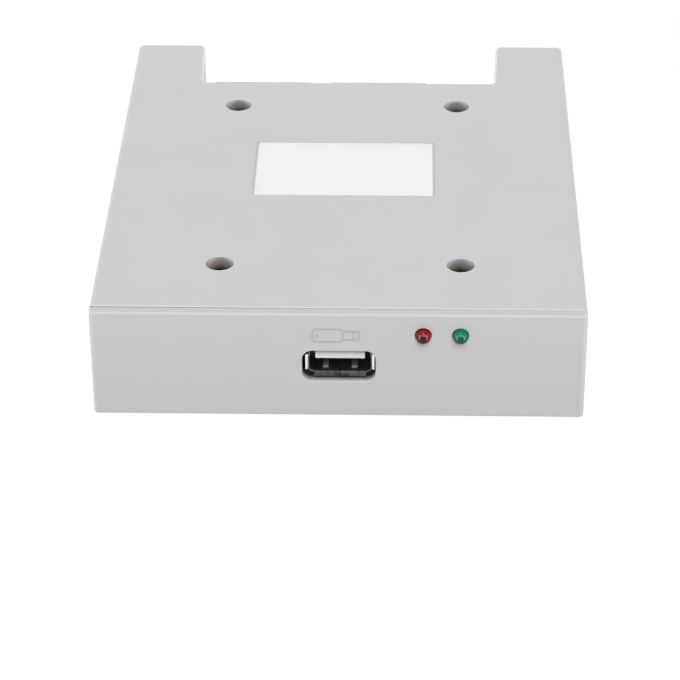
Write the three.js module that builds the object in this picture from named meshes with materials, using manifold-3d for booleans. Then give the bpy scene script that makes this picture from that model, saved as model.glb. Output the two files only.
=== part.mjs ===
// Floppy drive emulator for a 3.5 inch bay: a moulded case with a socket and two lamps at the front,
// and a circuit board whose data, power and selection connectors stand in a notch at the back.
// Millimetres. X runs to the right, Y from the front face to the back, Z up from the bottom face.

import * as THREE from 'three';
import { mergeVertices } from 'three/addons/utils/BufferGeometryUtils.js';
import Module from 'manifold-3d';

const wasm = await Module();
wasm.setup();

// Case
const caseWidth = 101.6;
const caseDepth = 124;
const caseHeight = 24.7;
const wall = 2;
const roof = 2;
const floor = 2;
const cornerRadius = 1.2;
const notchRadius = 0.8;
const topEdge = 0.4;
const bottomEdge = 0.9;
const seam = 0.2;
const lapDepth = 1.5;
const lapClearance = 0.15;
const splitAboveBoard = 1.1;
const ribThickness = 1.2;
const ribHeight = 2;

// Screw wells and the posts under them
const wellSpacing = 50.4;
const frontWellY = 20.1;
const rearWellSetback = 11.9;
const wellBore = 5.8;
const wellWall = 1.3;
const wellRim = 0.25;
const wellFloor = 2;
const postDiameter = 7;
const screwShank = 3;
const screwHead = 5.1;
const screwHeadHeight = 2;
const screwLength = 7.5;
const screwPoint = 1.2;
const pointShare = 0.3;
const headSideShare = 0.5;
const headFlatShare = 0.6;
const screwClearance = 0.15;

// Fixing holes in the sides of the bottom cover
const sideHole = 3;
const sideHoleHeight = 5;
const firstSideHoleY = 31;
const sideHoleSpacing = 60;
const sideBossWidth = 7;
const sideBossDepth = 4;
const sideHoleFloor = 1.2;

// Label and its pocket
const labelWidth = 39.1;
const labelDepth = 24.3;
const labelSetback = 0.15;
const labelThickness = 0.1;
const labelRadius = 0.2;
const adhesive = 0.05;
const pocketDepth = 0.3;
const pocketGap = 0.45;
const pocketRadius = 0.4;

// Front panel
const panelThickness = 2.4;
const panelEdge = 0.5;
const panelTopCorner = 0.5;
const panelLowCorner = 0.8;
const frameDepth = 2;
const frameWall = 1.2;
const frameClearance = 0.2;

// Socket at the front
const socketX = 0.15;
const socketHeight = 12.1;
const shellInsideWidth = 12.5;
const shellInsideHeight = 5.12;
const shellWall = 0.3;
const shellRadius = 0.6;
const shellLength = 13.2;
const lipSetback = 1.4;
const lipBend = 0.75;
const lipSweep = THREE.MathUtils.degToRad(65);
const lipWidth = 10.9;
const sideLipWidth = 3.4;
const cutSideClearance = 0.57;
const cutTopClearance = 0.46;
const cutRadius = 2.1;
const cutRim = 0.2;
const fingerWidth = 1.4;
const fingerLength = 5.2;
const fingerSpacing = 6.2;
const fingerRise = 0.45;
const fingerSlot = 0.3;
const fingerWeb = 0.65;
const fingerBendShares = [0.2, 0.8];
const fingerTipShare = 0.33;
const shellLegWidth = 2.6;
const shellLegY = 6;

// Insulator and contacts of the socket
const tongueWidth = 10.6;
const tongueThickness = 1.84;
const tongueTopGap = 0.72;
const tongueSetback = 1.6;
const tongueEdge = 0.25;
const insulatorBlock = 3.4;
const insulatorClearance = 0.15;
const contactWidth = 1;
const contactThickness = 0.25;
const contactGrooveDepth = 0.5;
const contactClearance = 0.2;
const innerContactSpacing = 2;
const outerContactSpacing = 7;
const contactFrontGap = 0.3;
const contactArch = 0.4;
const contactArchShares = [0.3, 0.7];
const contactTailY = 0.85;

// Lamps
const firstLampX = 17.4;
const lampSpacing = 7.6;
const lampDrop = 5;
const lensDiameter = 3.1;
const lensReach = 4.4;
const lensClearance = 0.15;
const flangeDiameter = 3.8;
const flangeThickness = 0.9;
const collarWall = 0.6;
const leadSize = 0.5;
const leadSpacing = 2.54;
const leadRun = 2.2;

// Circuit board
const boardThickness = 1.6;
const boardSetback = 1.6;
const boardRearSetback = 3.6;
const boardMargin = 0.6;
const boardSideGap = 1.47;
const boardCorner = 1;
const seat = 0.1;
const holeClearance = 0.25;
const tail = 1.4;

// Data, power and selection connectors at the back
const pinPitch = 2.54;
const pinSize = 0.64;
const dataColumns = 17;
const pinRows = 2;
const headerEnd = 3.81;
const headerHeight = 8.8;
const headerDepth = 8.9;
const headerWall = 1.2;
const headerBase = 2.5;
const keySlot = 4.5;
const pinRecess = 0.8;
const headerTailGap = 1.5;
const connectorSetback = 6.6;
const connectorGap = 1.4;
const windowGap = 0.4;
const powerPins = 4;
const powerPitch = 2.5;
const powerEnd = 1.3;
const powerHeight = 6.6;
const powerDepth = 6.4;
const powerWall = 0.9;
const powerBase = 2.2;
const latchSlot = 3;
const selectorColumns = 3;
const selectorBase = 2.5;
const selectorPinReach = 6.1;
const selectorGap = 1.1;
const selectorCoverGap = 0.47;

// Jumper caps
const capHeight = 6;
const capGap = 0.24;
const capClearance = 0.18;
const capEdge = 0.25;

// Small parts on the board
const controllerSide = 7;
const controllerHeight = 1.4;
const controllerPitch = 0.8;
const controllerLead = 0.35;
const smallChipWidth = 3.9;
const smallChipHeight = 1.5;
const smallChipPitch = 1.27;
const smallChipLead = 0.42;
const smallChipEnds = 1.26;
const memoryColumns = 4;
const driverColumns = 7;
const controllerColumns = 8;
const leadReach = 1;
const leadThickness = 0.2;
const footShare = 0.45;
const chipEdge = 0.2;
const regulatorLength = 6.5;
const regulatorWidth = 3.5;
const regulatorHeight = 1.6;
const regulatorTab = 3;
const regulatorPitch = 2.3;
const regulatorLead = 0.6;
const regulatorLeads = 3;
const crystalLength = 11;
const crystalWidth = 4.6;
const crystalHeight = 3.6;
const crystalRim = 0.35;
const canDiameter = 6.3;
const canHeight = 7.7;
const canBase = 0.9;
const canGroove = 0.3;
const canGrooveShare = 0.2;
const canCornerShare = 0.5;
const networkLength = 20;
const networkWidth = 2.4;
const networkHeight = 5;
const tinyLength = 2;
const tinyWidth = 1.25;
const tinyHeight = 0.7;
const tinyTerminal = 0.4;
const tinyPlating = 0.05;

// How finely rounds are drawn, how far a cutter overruns, and how close points count as one
const fine = { corner: 4, edge: 3 };
const plain = { corner: 2, edge: 1 };
const boreSides = 24;
const smallSides = 16;
const screwSides = 12;
const domeSteps = 6;
const rimSteps = 2;
const overrun = 1;
const weld = 0.0001;

// Places worked out from the sizes
const boardTop = socketHeight - shellInsideHeight / 2 - shellWall - seat;
const boardBottom = boardTop - boardThickness;
const boardFront = panelThickness + boardSetback;
const boardBack = caseDepth - boardRearSetback;
const onBoard = boardTop + seat;
const underBoard = boardBottom - tail;
const splitHeight = boardTop + splitAboveBoard;
const coverLow = splitHeight + seam;
const coverFront = panelThickness + seam;
const headerLength = dataColumns * pinPitch + 2 * headerEnd;
const powerLength = powerPins * powerPitch + 2 * powerEnd;
const boardWidth = headerLength + connectorGap + powerLength + 2 * boardMargin;
const notchWidth = boardWidth + 2 * boardSideGap;
const selectorDepth = pinRows * pinPitch;
const selectorWidth = selectorColumns * pinPitch;
const notchDepth = connectorSetback + powerDepth + selectorGap + selectorDepth + selectorCoverGap;
const notchY = caseDepth - notchDepth;
const mouthY = caseDepth - connectorSetback;
const headerX = -boardWidth / 2 + boardMargin + headerLength / 2;
const powerX = boardWidth / 2 - boardMargin - powerLength / 2;
const headerFrontY = mouthY - headerDepth;
const powerFrontY = mouthY - powerDepth;
const powerTailY = powerFrontY + powerBase / 2;
const selectorY = powerFrontY - selectorGap - selectorDepth / 2;
const windowTop = onBoard + headerHeight + windowGap;
const wellX = wellSpacing / 2;
const rearWellY = notchY - rearWellSetback;
const labelY = caseDepth / 2 + labelSetback;
const wellSeat = boardTop + seat + wellFloor;
const postTop = boardBottom - seat;
const screwTip = wellSeat + seat - screwLength;
const wellPlaces = [
  ['front_left', -wellX, frontWellY],
  ['front_right', wellX, frontWellY],
  ['rear_left', -wellX, rearWellY],
  ['rear_right', wellX, rearWellY],
];
const lipOut = shellWall + lipBend * (1 - Math.cos(lipSweep));
const flareY = lipSetback + (lipBend + shellWall) * Math.sin(lipSweep);
const shellBack = flareY + shellLength;
const tongueFront = lipSetback + tongueSetback;
const tongueTop = shellInsideHeight / 2 - tongueTopGap;
const tongueBottom = tongueTop - tongueThickness;
const insulatorFront = shellBack - insulatorBlock;
const contactXs = [-outerContactSpacing, -innerContactSpacing, innerContactSpacing, outerContactSpacing]
  .map((spacing) => spacing / 2);
const contactDropY = shellBack + contactTailY;
const lampHeight = caseHeight - lampDrop;
const lampXs = [firstLampX, firstLampX + lampSpacing];
const flangeFront = panelThickness + seat;
const flangeBack = flangeFront + flangeThickness;
const leadDropY = flangeBack + leadRun;

// Solids from three.js geometries

// A closed solid from a geometry, with its shared points welded and its empty faces left out
function solid(geometry) {
  const bare = geometry.clone();
  bare.deleteAttribute('normal');
  bare.deleteAttribute('uv');
  const welded = mergeVertices(bare, weld);
  const corners = welded.index.array;
  const faces = [];
  for (let i = 0; i < corners.length; i += 3) {
    const [a, b, c] = corners.slice(i, i + 3);
    if (a !== b && b !== c && c !== a) {
      faces.push(a, b, c);
    }
  }
  return new wasm.Manifold(new wasm.Mesh({
    numProp: 3,
    vertProperties: welded.attributes.position.array,
    triVerts: Uint32Array.from(faces),
  }));
}

// The geometry of a finished solid
function geometryOf(body) {
  const { vertProperties, triVerts } = body.getMesh();
  const geometry = new THREE.BufferGeometry();
  geometry.setAttribute('position', new THREE.BufferAttribute(vertProperties, 3));
  geometry.setIndex(new THREE.BufferAttribute(triVerts, 1));
  geometry.computeVertexNormals();
  return geometry;
}

function join(...bodies) {
  return bodies.flat().reduce((whole, body) => whole.add(body));
}

function cut(body, ...tools) {
  return tools.flat().reduce((rest, tool) => rest.subtract(tool), body);
}

function block(x0, x1, y0, y1, z0, z1) {
  const geometry = new THREE.BoxGeometry(x1 - x0, y1 - y0, z1 - z0);
  geometry.translate((x0 + x1) / 2, (y0 + y1) / 2, (z0 + z1) / 2);
  return solid(geometry);
}

// An outline pulled along its own normal from zero to a depth. A positive edge rounds both ends over,
// and a negative one flares them, as a cutter that leaves a rounded rim does.
function pulled(shape, depth, edge, detail) {
  const options = { depth, bevelEnabled: false, curveSegments: detail.corner };
  if (edge) {
    options.depth = depth - 2 * Math.abs(edge);
    options.bevelEnabled = true;
    options.bevelThickness = Math.abs(edge);
    options.bevelSize = edge;
    options.bevelSegments = detail.edge;
  }
  const geometry = new THREE.ExtrudeGeometry(shape, options);
  geometry.translate(0, 0, edge ? Math.abs(edge) : 0);
  return geometry;
}

// A plan outline raised from one height to another
function raised(shape, z0, z1, edge = 0, detail = plain) {
  const geometry = pulled(shape, z1 - z0, edge, detail);
  geometry.translate(0, 0, z0);
  return solid(geometry);
}

// A front outline, drawn in X and Z, pushed back from one Y to another
function pushed(shape, y0, y1, edge = 0, detail = plain) {
  const geometry = pulled(shape, y1 - y0, edge, detail);
  geometry.rotateX(Math.PI / 2);
  geometry.translate(0, y1, 0);
  return solid(geometry);
}

// A side outline, drawn in Y and Z, carried across from one X to another
function acrossGeometry(shape, x0, x1) {
  const geometry = pulled(shape, x1 - x0, 0, plain);
  geometry.applyMatrix4(new THREE.Matrix4().set(0, 0, 1, x0, 1, 0, 0, 0, 0, 1, 0, 0, 0, 0, 0, 1));
  return geometry;
}

function across(shape, x0, x1) {
  return solid(acrossGeometry(shape, x0, x1));
}

// A profile of radius and height, listed from the bottom up, turned about the Z axis
function turned(profile, sides) {
  const points = profile.map(([radius, height]) => new THREE.Vector2(radius, height));
  const geometry = new THREE.LatheGeometry(points, sides);
  geometry.rotateX(Math.PI / 2);
  return geometry;
}

// A profile of radius and depth, listed from the front back, turned about the Y axis
function turnedAlongY(profile, sides) {
  const points = profile.map(([radius, depth]) => new THREE.Vector2(radius, depth));
  return new THREE.LatheGeometry(points, sides);
}

function cylinder(radius, x, y, z0, z1, sides) {
  const geometry = turned([[0, z0], [radius, z0], [radius, z1], [0, z1]], sides);
  geometry.translate(x, y, 0);
  return solid(geometry);
}

// Outlines

// A rectangle with rounded corners, with one radius for its low side and one for its high side
function roundedRectangle(x0, x1, y0, y1, lowRadius, highRadius = lowRadius) {
  const shape = new THREE.Shape();
  shape.absarc(x1 - lowRadius, y0 + lowRadius, lowRadius, -Math.PI / 2, 0, false);
  shape.absarc(x1 - highRadius, y1 - highRadius, highRadius, 0, Math.PI / 2, false);
  shape.absarc(x0 + highRadius, y1 - highRadius, highRadius, Math.PI / 2, Math.PI, false);
  shape.absarc(x0 + lowRadius, y0 + lowRadius, lowRadius, Math.PI, 1.5 * Math.PI, false);
  shape.closePath();
  return shape;
}

function rectangle(x0, x1, y0, y1) {
  const shape = new THREE.Shape();
  shape.moveTo(x0, y0);
  shape.lineTo(x1, y0);
  shape.lineTo(x1, y1);
  shape.lineTo(x0, y1);
  shape.closePath();
  return shape;
}

// The plan of the case drawn in by an inset: a rectangle with a notch between two ears at the back
function casePlan(inset, frontY) {
  const side = caseWidth / 2 - inset;
  const back = caseDepth - inset;
  const ear = notchWidth / 2 + inset;
  const notch = notchY - inset;
  const outer = Math.max(cornerRadius - inset, topEdge);
  const inner = notchRadius + inset;
  const shape = new THREE.Shape();
  shape.moveTo(-side, frontY);
  shape.lineTo(side, frontY);
  shape.absarc(side - outer, back - outer, outer, 0, Math.PI / 2, false);
  shape.absarc(ear + outer, back - outer, outer, Math.PI / 2, Math.PI, false);
  shape.absarc(ear - inner, notch + inner, inner, 0, -Math.PI / 2, true);
  shape.absarc(-ear + inner, notch + inner, inner, -Math.PI / 2, -Math.PI, true);
  shape.absarc(-ear - outer, back - outer, outer, 0, Math.PI / 2, false);
  shape.absarc(-side + outer, back - outer, outer, Math.PI / 2, Math.PI, false);
  shape.closePath();
  return shape;
}

// The outline of a strip of even thickness bent along a centreline
function strip(line, thickness) {
  const points = line.map(([along, up]) => new THREE.Vector2(along, up));
  const direction = (from) => points[from + 1].clone().sub(points[from]).normalize();
  const left = [];
  const right = [];
  points.forEach((point, index) => {
    const before = direction(Math.max(index - 1, 0));
    const after = direction(Math.min(index, points.length - 2));
    const middle = before.clone().add(after).normalize();
    const normal = new THREE.Vector2(-middle.y, middle.x);
    const mitre = thickness / 2 / normal.dot(new THREE.Vector2(-before.y, before.x));
    left.push(point.clone().addScaledVector(normal, mitre));
    right.unshift(point.clone().addScaledVector(normal, -mitre));
  });
  return new THREE.Shape([...left, ...right]);
}

// Case

// A screw well: a tube that hangs from the roof and ends on the board
function wellTube(x, y) {
  return cylinder(wellBore / 2 + wellWall, x, y, boardTop + seat, caseHeight - roof / 2, boreSides);
}

// The hole down a well, with its rounded rim and the screw's own hole through the floor
function wellHole(x, y) {
  const radius = wellBore / 2;
  const rim = [];
  for (let step = 0; step <= rimSteps; step += 1) {
    const turn = (step / rimSteps) * Math.PI / 2;
    const out = radius + wellRim * (1 - Math.cos(turn));
    rim.push([out, caseHeight - wellRim * (1 - Math.sin(turn))]);
  }
  const profile = [
    [0, boardTop],
    [screwShank / 2 + screwClearance, boardTop],
    [screwShank / 2 + screwClearance, wellSeat],
    [radius, wellSeat],
    ...rim,
    [radius + wellRim, caseHeight + overrun],
    [0, caseHeight + overrun],
  ];
  const geometry = turned(profile, boreSides);
  geometry.translate(x, y, 0);
  return solid(geometry);
}

// Stiffening ribs under the roof, through the wells and between them
function roofRibs() {
  const low = caseHeight - roof - ribHeight;
  const high = caseHeight - roof / 2;
  const half = ribThickness / 2;
  const side = caseWidth / 2 - wall / 2;
  const crossing = [frontWellY, rearWellY].map((y) => block(-side, side, y - half, y + half, low, high));
  const lengthwise = [-wellX, wellX].map((x) => block(x - half, x + half, frontWellY, rearWellY, low, high));
  return join(crossing, lengthwise);
}

function topCover() {
  const outside = casePlan(topEdge, coverFront + topEdge);
  const skin = raised(outside, coverLow - 2 * topEdge, caseHeight, topEdge, fine)
    .intersect(block(-caseWidth, caseWidth, 0, caseDepth, coverLow, caseHeight + overrun));
  const hollow = raised(casePlan(wall, -overrun), coverLow - overrun, caseHeight - roof);
  const lip = cut(
    raised(casePlan(wall / 2 + lapClearance, coverFront), splitHeight - lapDepth, coverLow + overrun),
    raised(casePlan(wall, -overrun), -overrun, caseHeight),
  );
  const windowHalf = boardWidth / 2 + windowGap;
  const window = block(
    -windowHalf, windowHalf, notchY - wall - overrun, notchY + overrun, -overrun, windowTop,
  );
  const pocket = raised(labelOutline(pocketGap, pocketRadius), caseHeight - pocketDepth, caseHeight + overrun);
  return cut(
    join(cut(skin, hollow), lip, roofRibs(), wellPlaces.map(([, x, y]) => wellTube(x, y))),
    wellPlaces.map(([, x, y]) => wellHole(x, y)),
    window,
    pocket,
  );
}

// A block inside the side wall that backs a fixing hole
function sideBoss(side, y) {
  const outside = caseWidth / 2 - wall / 2;
  const inside = caseWidth / 2 - wall - sideBossDepth;
  const half = sideBossWidth / 2;
  const xs = [side * outside, side * inside].sort((a, b) => a - b);
  const top = sideHoleHeight + half;
  return block(xs[0], xs[1], y - half, y + half, floor / 2, top);
}

function sideHoleCutter(side, y) {
  const depth = wall + sideBossDepth - sideHoleFloor;
  const geometry = turned([
    [0, -overrun],
    [sideHole / 2, -overrun],
    [sideHole / 2, depth],
    [0, depth],
  ], smallSides);
  geometry.rotateY(-side * Math.PI / 2);
  geometry.translate(side * caseWidth / 2, y, sideHoleHeight);
  return solid(geometry);
}

function post(x, y) {
  return cylinder(postDiameter / 2, x, y, floor / 2, postTop, smallSides);
}

function postHole(x, y) {
  const low = screwTip - screwClearance;
  return cylinder(screwShank / 2 + screwClearance, x, y, low, postTop + overrun, smallSides);
}

// Ribs on the floor between the posts, and a rest across the notch under the connectors
function floorRibs() {
  const half = ribThickness / 2;
  const high = floor + ribHeight;
  const low = floor / 2;
  const crossing = [frontWellY, rearWellY].map((y) => block(-wellX, wellX, y - half, y + half, low, high));
  const lengthwise = [-wellX, wellX].map((x) => block(x - half, x + half, frontWellY, rearWellY, low, high));
  const restY = (powerTailY + mouthY) / 2;
  const restHalf = boardWidth / 2 - boardMargin;
  const rest = block(-restHalf, restHalf, restY - half, restY + half, low, postTop);
  return join(crossing, lengthwise, rest);
}

function bottomCover() {
  const side = caseWidth / 2;
  const outline = roundedRectangle(
    -side + bottomEdge, side - bottomEdge, coverFront + bottomEdge, caseDepth - bottomEdge,
    topEdge, Math.max(cornerRadius - bottomEdge, topEdge),
  );
  const skin = raised(outline, 0, splitHeight + 2 * bottomEdge, bottomEdge, fine)
    .intersect(block(-caseWidth, caseWidth, -overrun, caseDepth + overrun, -overrun, splitHeight));
  const hollow = raised(casePlan(wall, -overrun), floor, splitHeight + overrun);
  const rebateLow = splitHeight - lapDepth - lapClearance;
  const rebate = raised(casePlan(wall / 2, -overrun), rebateLow, splitHeight + overrun);
  const channel = block(
    -notchWidth / 2, notchWidth / 2, notchY - wall - overrun, caseDepth + overrun,
    floor, splitHeight + overrun,
  );
  const holeYs = [firstSideHoleY, firstSideHoleY + sideHoleSpacing];
  const sides = [-1, 1].flatMap((hand) => holeYs.map((y) => [hand, y]));
  return cut(
    join(
      cut(skin, hollow, rebate, channel),
      wellPlaces.map(([, x, y]) => post(x, y)),
      sides.map(([hand, y]) => sideBoss(hand, y)),
      floorRibs(),
    ),
    wellPlaces.map(([, x, y]) => postHole(x, y)),
    sides.map(([hand, y]) => sideHoleCutter(hand, y)),
  );
}

// The front panel: a plate with rounded edges, a locating frame that plugs into the covers' mouth,
// a cut-out for the socket and a collar behind each lamp's hole
function frontPanel() {
  const side = caseWidth / 2;
  const face = roundedRectangle(
    -side + panelEdge, side - panelEdge, panelEdge, caseHeight - panelEdge,
    panelLowCorner, panelTopCorner,
  );
  const plan = roundedRectangle(-side, side, 0, panelThickness + 2 * cornerRadius, cornerRadius);
  const plate = pushed(face, 0, panelThickness + 2 * panelEdge, panelEdge, fine)
    .intersect(raised(plan, -overrun, caseHeight + overrun, 0, fine))
    .intersect(block(-caseWidth, caseWidth, -overrun, panelThickness, -overrun, caseHeight + overrun));
  const frameX = side - wall - frameClearance;
  const frameLow = floor + frameClearance;
  const frameHigh = caseHeight - roof - frameClearance;
  const frame = cut(
    pushed(rectangle(-frameX, frameX, frameLow, frameHigh), panelThickness / 2, panelThickness + frameDepth),
    pushed(
      rectangle(-frameX + frameWall, frameX - frameWall, frameLow + frameWall, frameHigh - frameWall),
      0, panelThickness + frameDepth + overrun,
    ),
  );
  return cut(join(plate, frame, lampXs.map(lampCollar)), socketCut(), lampXs.map(lampHole));
}

// The cut-out round the socket's lips, with a rounded rim at the face
function socketCut() {
  const halfWidth = shellInsideWidth / 2 + lipOut + cutSideClearance;
  const halfHeight = shellInsideHeight / 2 + lipOut + cutTopClearance;
  const outline = (grow) => roundedRectangle(
    socketX - halfWidth - grow, socketX + halfWidth + grow,
    socketHeight - halfHeight - grow, socketHeight + halfHeight + grow, cutRadius + grow,
  );
  const through = pushed(outline(0), -overrun, panelThickness + overrun, 0, fine);
  const rim = pushed(outline(cutRim), 0, 4 * cutRim, -cutRim, fine);
  return join(through, rim);
}

function lampCollar(x) {
  const radius = flangeDiameter / 2 + lensClearance + collarWall;
  const geometry = turnedAlongY([
    [0, panelThickness / 2],
    [radius, panelThickness / 2],
    [radius, flangeBack],
    [0, flangeBack],
  ], smallSides);
  geometry.translate(x, 0, lampHeight);
  return solid(geometry);
}

function lampHole(x) {
  const bore = lensDiameter / 2 + lensClearance;
  const pocket = flangeDiameter / 2 + lensClearance;
  const geometry = turnedAlongY([
    [0, -overrun],
    [bore + cutRim, -overrun],
    [bore + cutRim, 0],
    [bore, cutRim],
    [bore, panelThickness],
    [pocket, panelThickness],
    [pocket, flangeBack + overrun],
    [0, flangeBack + overrun],
  ], smallSides);
  geometry.translate(x, 0, lampHeight);
  return solid(geometry);
}

function labelOutline(grow, radius) {
  const halfWidth = labelWidth / 2 + grow;
  const halfDepth = labelDepth / 2 + grow;
  return roundedRectangle(-halfWidth, halfWidth, labelY - halfDepth, labelY + halfDepth, radius);
}

function label() {
  const low = caseHeight - pocketDepth + adhesive;
  return raised(labelOutline(0, labelRadius), low, low + labelThickness);
}

// A pan head screw standing on its head's underside, with its point down
function screw() {
  const head = screwHead / 2;
  const shank = screwShank / 2;
  return turned([
    [0, -screwLength],
    [shank * pointShare, -screwLength],
    [shank, screwPoint - screwLength],
    [shank, 0],
    [head, 0],
    [head, screwHeadHeight * headSideShare],
    [head * headFlatShare, screwHeadHeight],
    [0, screwHeadHeight],
  ], screwSides);
}

// Socket. Its pieces are drawn about the socket's axis, with Y from the front face.

// A flared lip on the upper side of the mouth, bent away from the opening
function lip(halfOpening, width) {
  const centre = halfOpening + shellWall + lipBend;
  const profile = new THREE.Shape();
  profile.moveTo(flareY + shellWall, halfOpening);
  profile.absarc(flareY, centre, lipBend + shellWall, -Math.PI / 2, -Math.PI / 2 - lipSweep, true);
  profile.absarc(flareY, centre, lipBend, -Math.PI / 2 - lipSweep, -Math.PI / 2, false);
  profile.lineTo(flareY + shellWall, halfOpening + shellWall);
  profile.closePath();
  return acrossGeometry(profile, -width / 2, width / 2);
}

// A holding spring cut from the lower wall: its root at the back and its raised tip at the front
function finger(x) {
  const root = flareY + fingerWeb + fingerLength;
  const z = -shellInsideHeight / 2 - shellWall / 2;
  const [bend, crest] = fingerBendShares.map((share) => root - fingerLength * share);
  const shape = strip([
    [root + shellWall, z],
    [bend, z],
    [crest, z + fingerRise],
    [root - fingerLength + fingerSlot, z + fingerRise * fingerTipShare],
  ], shellWall);
  return acrossGeometry(shape, x - fingerWidth / 2, x + fingerWidth / 2);
}

function fingerWindow(x) {
  const half = fingerWidth / 2 + fingerSlot;
  const front = flareY + fingerWeb;
  const z = shellInsideHeight / 2;
  const geometry = new THREE.BoxGeometry(2 * half, fingerLength, 2 * z + 4 * shellWall);
  geometry.translate(x, front + fingerLength / 2, 0);
  return solid(geometry);
}

function socketShell() {
  const halfWidth = shellInsideWidth / 2;
  const halfHeight = shellInsideHeight / 2;
  const section = (grow) => roundedRectangle(
    -halfWidth - grow, halfWidth + grow, -halfHeight - grow, halfHeight + grow, shellRadius + grow,
  );
  const tube = cut(
    pushed(section(shellWall), flareY, shellBack),
    pushed(section(0), flareY - overrun, shellBack + overrun),
  );
  const lips = [0, 1, 2, 3].map((quarter) => {
    const upright = quarter % 2 === 0;
    const geometry = lip(upright ? halfHeight : halfWidth, upright ? lipWidth : sideLipWidth);
    geometry.rotateY(quarter * Math.PI / 2);
    return solid(geometry);
  });
  const fingerXs = [-fingerSpacing / 2, fingerSpacing / 2];
  const fingers = fingerXs.flatMap((x) => [0, Math.PI].map((turn) => {
    const geometry = finger(x);
    geometry.rotateY(turn);
    return solid(geometry);
  }));
  const legBottom = underBoard - socketHeight;
  const legs = [-1, 1].map((side) => {
    const xs = [side * halfWidth, side * (halfWidth + shellWall)].sort((a, b) => a - b);
    return block(xs[0], xs[1], flareY + shellLegY, flareY + shellLegY + shellLegWidth, legBottom, 0);
  });
  return join(cut(join(tube, lips), fingerXs.map(fingerWindow)), fingers, legs);
}

// The insulator: a tongue that stands out of a block at the back, with a groove for each contact
function socketInsulator() {
  const halfWidth = shellInsideWidth / 2 - insulatorClearance;
  const halfHeight = shellInsideHeight / 2 - insulatorClearance;
  const base = pushed(
    roundedRectangle(-halfWidth, halfWidth, -halfHeight, halfHeight, shellRadius),
    insulatorFront, shellBack,
  );
  const tongue = pushed(
    roundedRectangle(
      -tongueWidth / 2 + tongueEdge, tongueWidth / 2 - tongueEdge,
      tongueBottom + tongueEdge, tongueTop - tongueEdge, tongueEdge,
    ),
    tongueFront, insulatorFront + insulatorBlock / 2, tongueEdge,
  );
  const half = contactWidth / 2 + contactClearance;
  const grooves = contactXs.map((x) => block(
    x - half, x + half, tongueFront + contactFrontGap, shellBack + overrun,
    tongueBottom - contactGrooveDepth, tongueBottom + contactGrooveDepth,
  ));
  return cut(join(base, tongue), grooves);
}

// A spring contact: arched under the tongue, straight through the block and down through the board
function contact() {
  const level = tongueBottom + contactGrooveDepth - contactThickness / 2 - contactClearance / 2;
  const front = tongueFront + contactFrontGap + 2 * contactClearance;
  const bottom = underBoard - socketHeight;
  const [arch, straight] = contactArchShares.map((share) => front + (insulatorFront - front) * share);
  const shape = strip([
    [front, level],
    [arch, level - contactArch],
    [straight, level],
    [contactDropY, level],
    [contactDropY, bottom],
  ], contactThickness);
  return across(shape, -contactWidth / 2, contactWidth / 2);
}

// Lamps. Each is drawn about its own axis, with Y from the front face.

function lens() {
  const radius = lensDiameter / 2;
  const tip = flangeFront - lensReach;
  const dome = [];
  for (let step = 0; step <= domeSteps; step += 1) {
    const turn = (step / domeSteps) * Math.PI / 2;
    dome.push([radius * Math.sin(turn), tip + radius * (1 - Math.cos(turn))]);
  }
  return turnedAlongY([
    ...dome,
    [radius, flangeFront],
    [flangeDiameter / 2, flangeFront],
    [flangeDiameter / 2, flangeBack],
    [0, flangeBack],
  ], smallSides);
}

function lampLead() {
  const shape = strip([
    [flangeBack + seat, 0],
    [leadDropY, 0],
    [leadDropY, underBoard - lampHeight],
  ], leadSize);
  return across(shape, -leadSize / 2, leadSize / 2);
}

// Circuit board, with a hole for every screw, leg and pin that goes through it

function slot(x, y, halfX, halfY) {
  return block(x - halfX - holeClearance, x + halfX + holeClearance,
    y - halfY - holeClearance, y + halfY + holeClearance, boardBottom - overrun, boardTop + overrun);
}

function screwHole(x, y) {
  const radius = screwShank / 2 + screwClearance;
  return cylinder(radius, x, y, boardBottom - overrun, boardTop + overrun, smallSides);
}

// The places of the data header's pins: the lower row drops to the board nearest to the shroud
function dataPins() {
  const pins = [];
  for (let row = 0; row < pinRows; row += 1) {
    for (let column = 0; column < dataColumns; column += 1) {
      const x = (column - (dataColumns - 1) / 2) * pinPitch;
      pins.push({ x, row, dropY: headerFrontY - headerTailGap - row * pinPitch });
    }
  }
  return pins;
}

function powerPinXs() {
  return Array.from({ length: powerPins }, (_, index) => (index - (powerPins - 1) / 2) * powerPitch);
}

function selectorPins() {
  const pins = [];
  for (let row = 0; row < pinRows; row += 1) {
    for (let column = 0; column < selectorColumns; column += 1) {
      const x = (column - (selectorColumns - 1) / 2) * pinPitch;
      pins.push([x, (row - (pinRows - 1) / 2) * pinPitch]);
    }
  }
  return pins;
}

function circuitBoard() {
  const half = boardWidth / 2;
  const shape = roundedRectangle(-half, half, boardFront, boardBack, boardCorner);
  const pinHalf = pinSize / 2;
  const legX = shellInsideWidth / 2 + shellWall / 2;
  const legY = flareY + shellLegY + shellLegWidth / 2;
  return cut(
    raised(shape, boardBottom, boardTop),
    wellPlaces.map(([, x, y]) => screwHole(x, y)),
    [-legX, legX].map((x) => slot(socketX + x, legY, shellWall / 2, shellLegWidth / 2)),
    contactXs.map((x) => slot(socketX + x, contactDropY, contactWidth / 2, contactThickness / 2)),
    lampXs.flatMap((x) => [-1, 1].map((side) => (
      slot(x + side * leadSpacing / 2, leadDropY, leadSize / 2, leadSize / 2)))),
    dataPins().map((pin) => slot(headerX + pin.x, pin.dropY, pinHalf, pinHalf)),
    powerPinXs().map((x) => slot(powerX + x, powerTailY, pinHalf, pinHalf)),
    selectorPins().map(([x, y]) => slot(powerX + x, selectorY + y, pinHalf, pinHalf)),
  );
}

// Connectors at the back. Their mouths face the back of the case.

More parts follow.
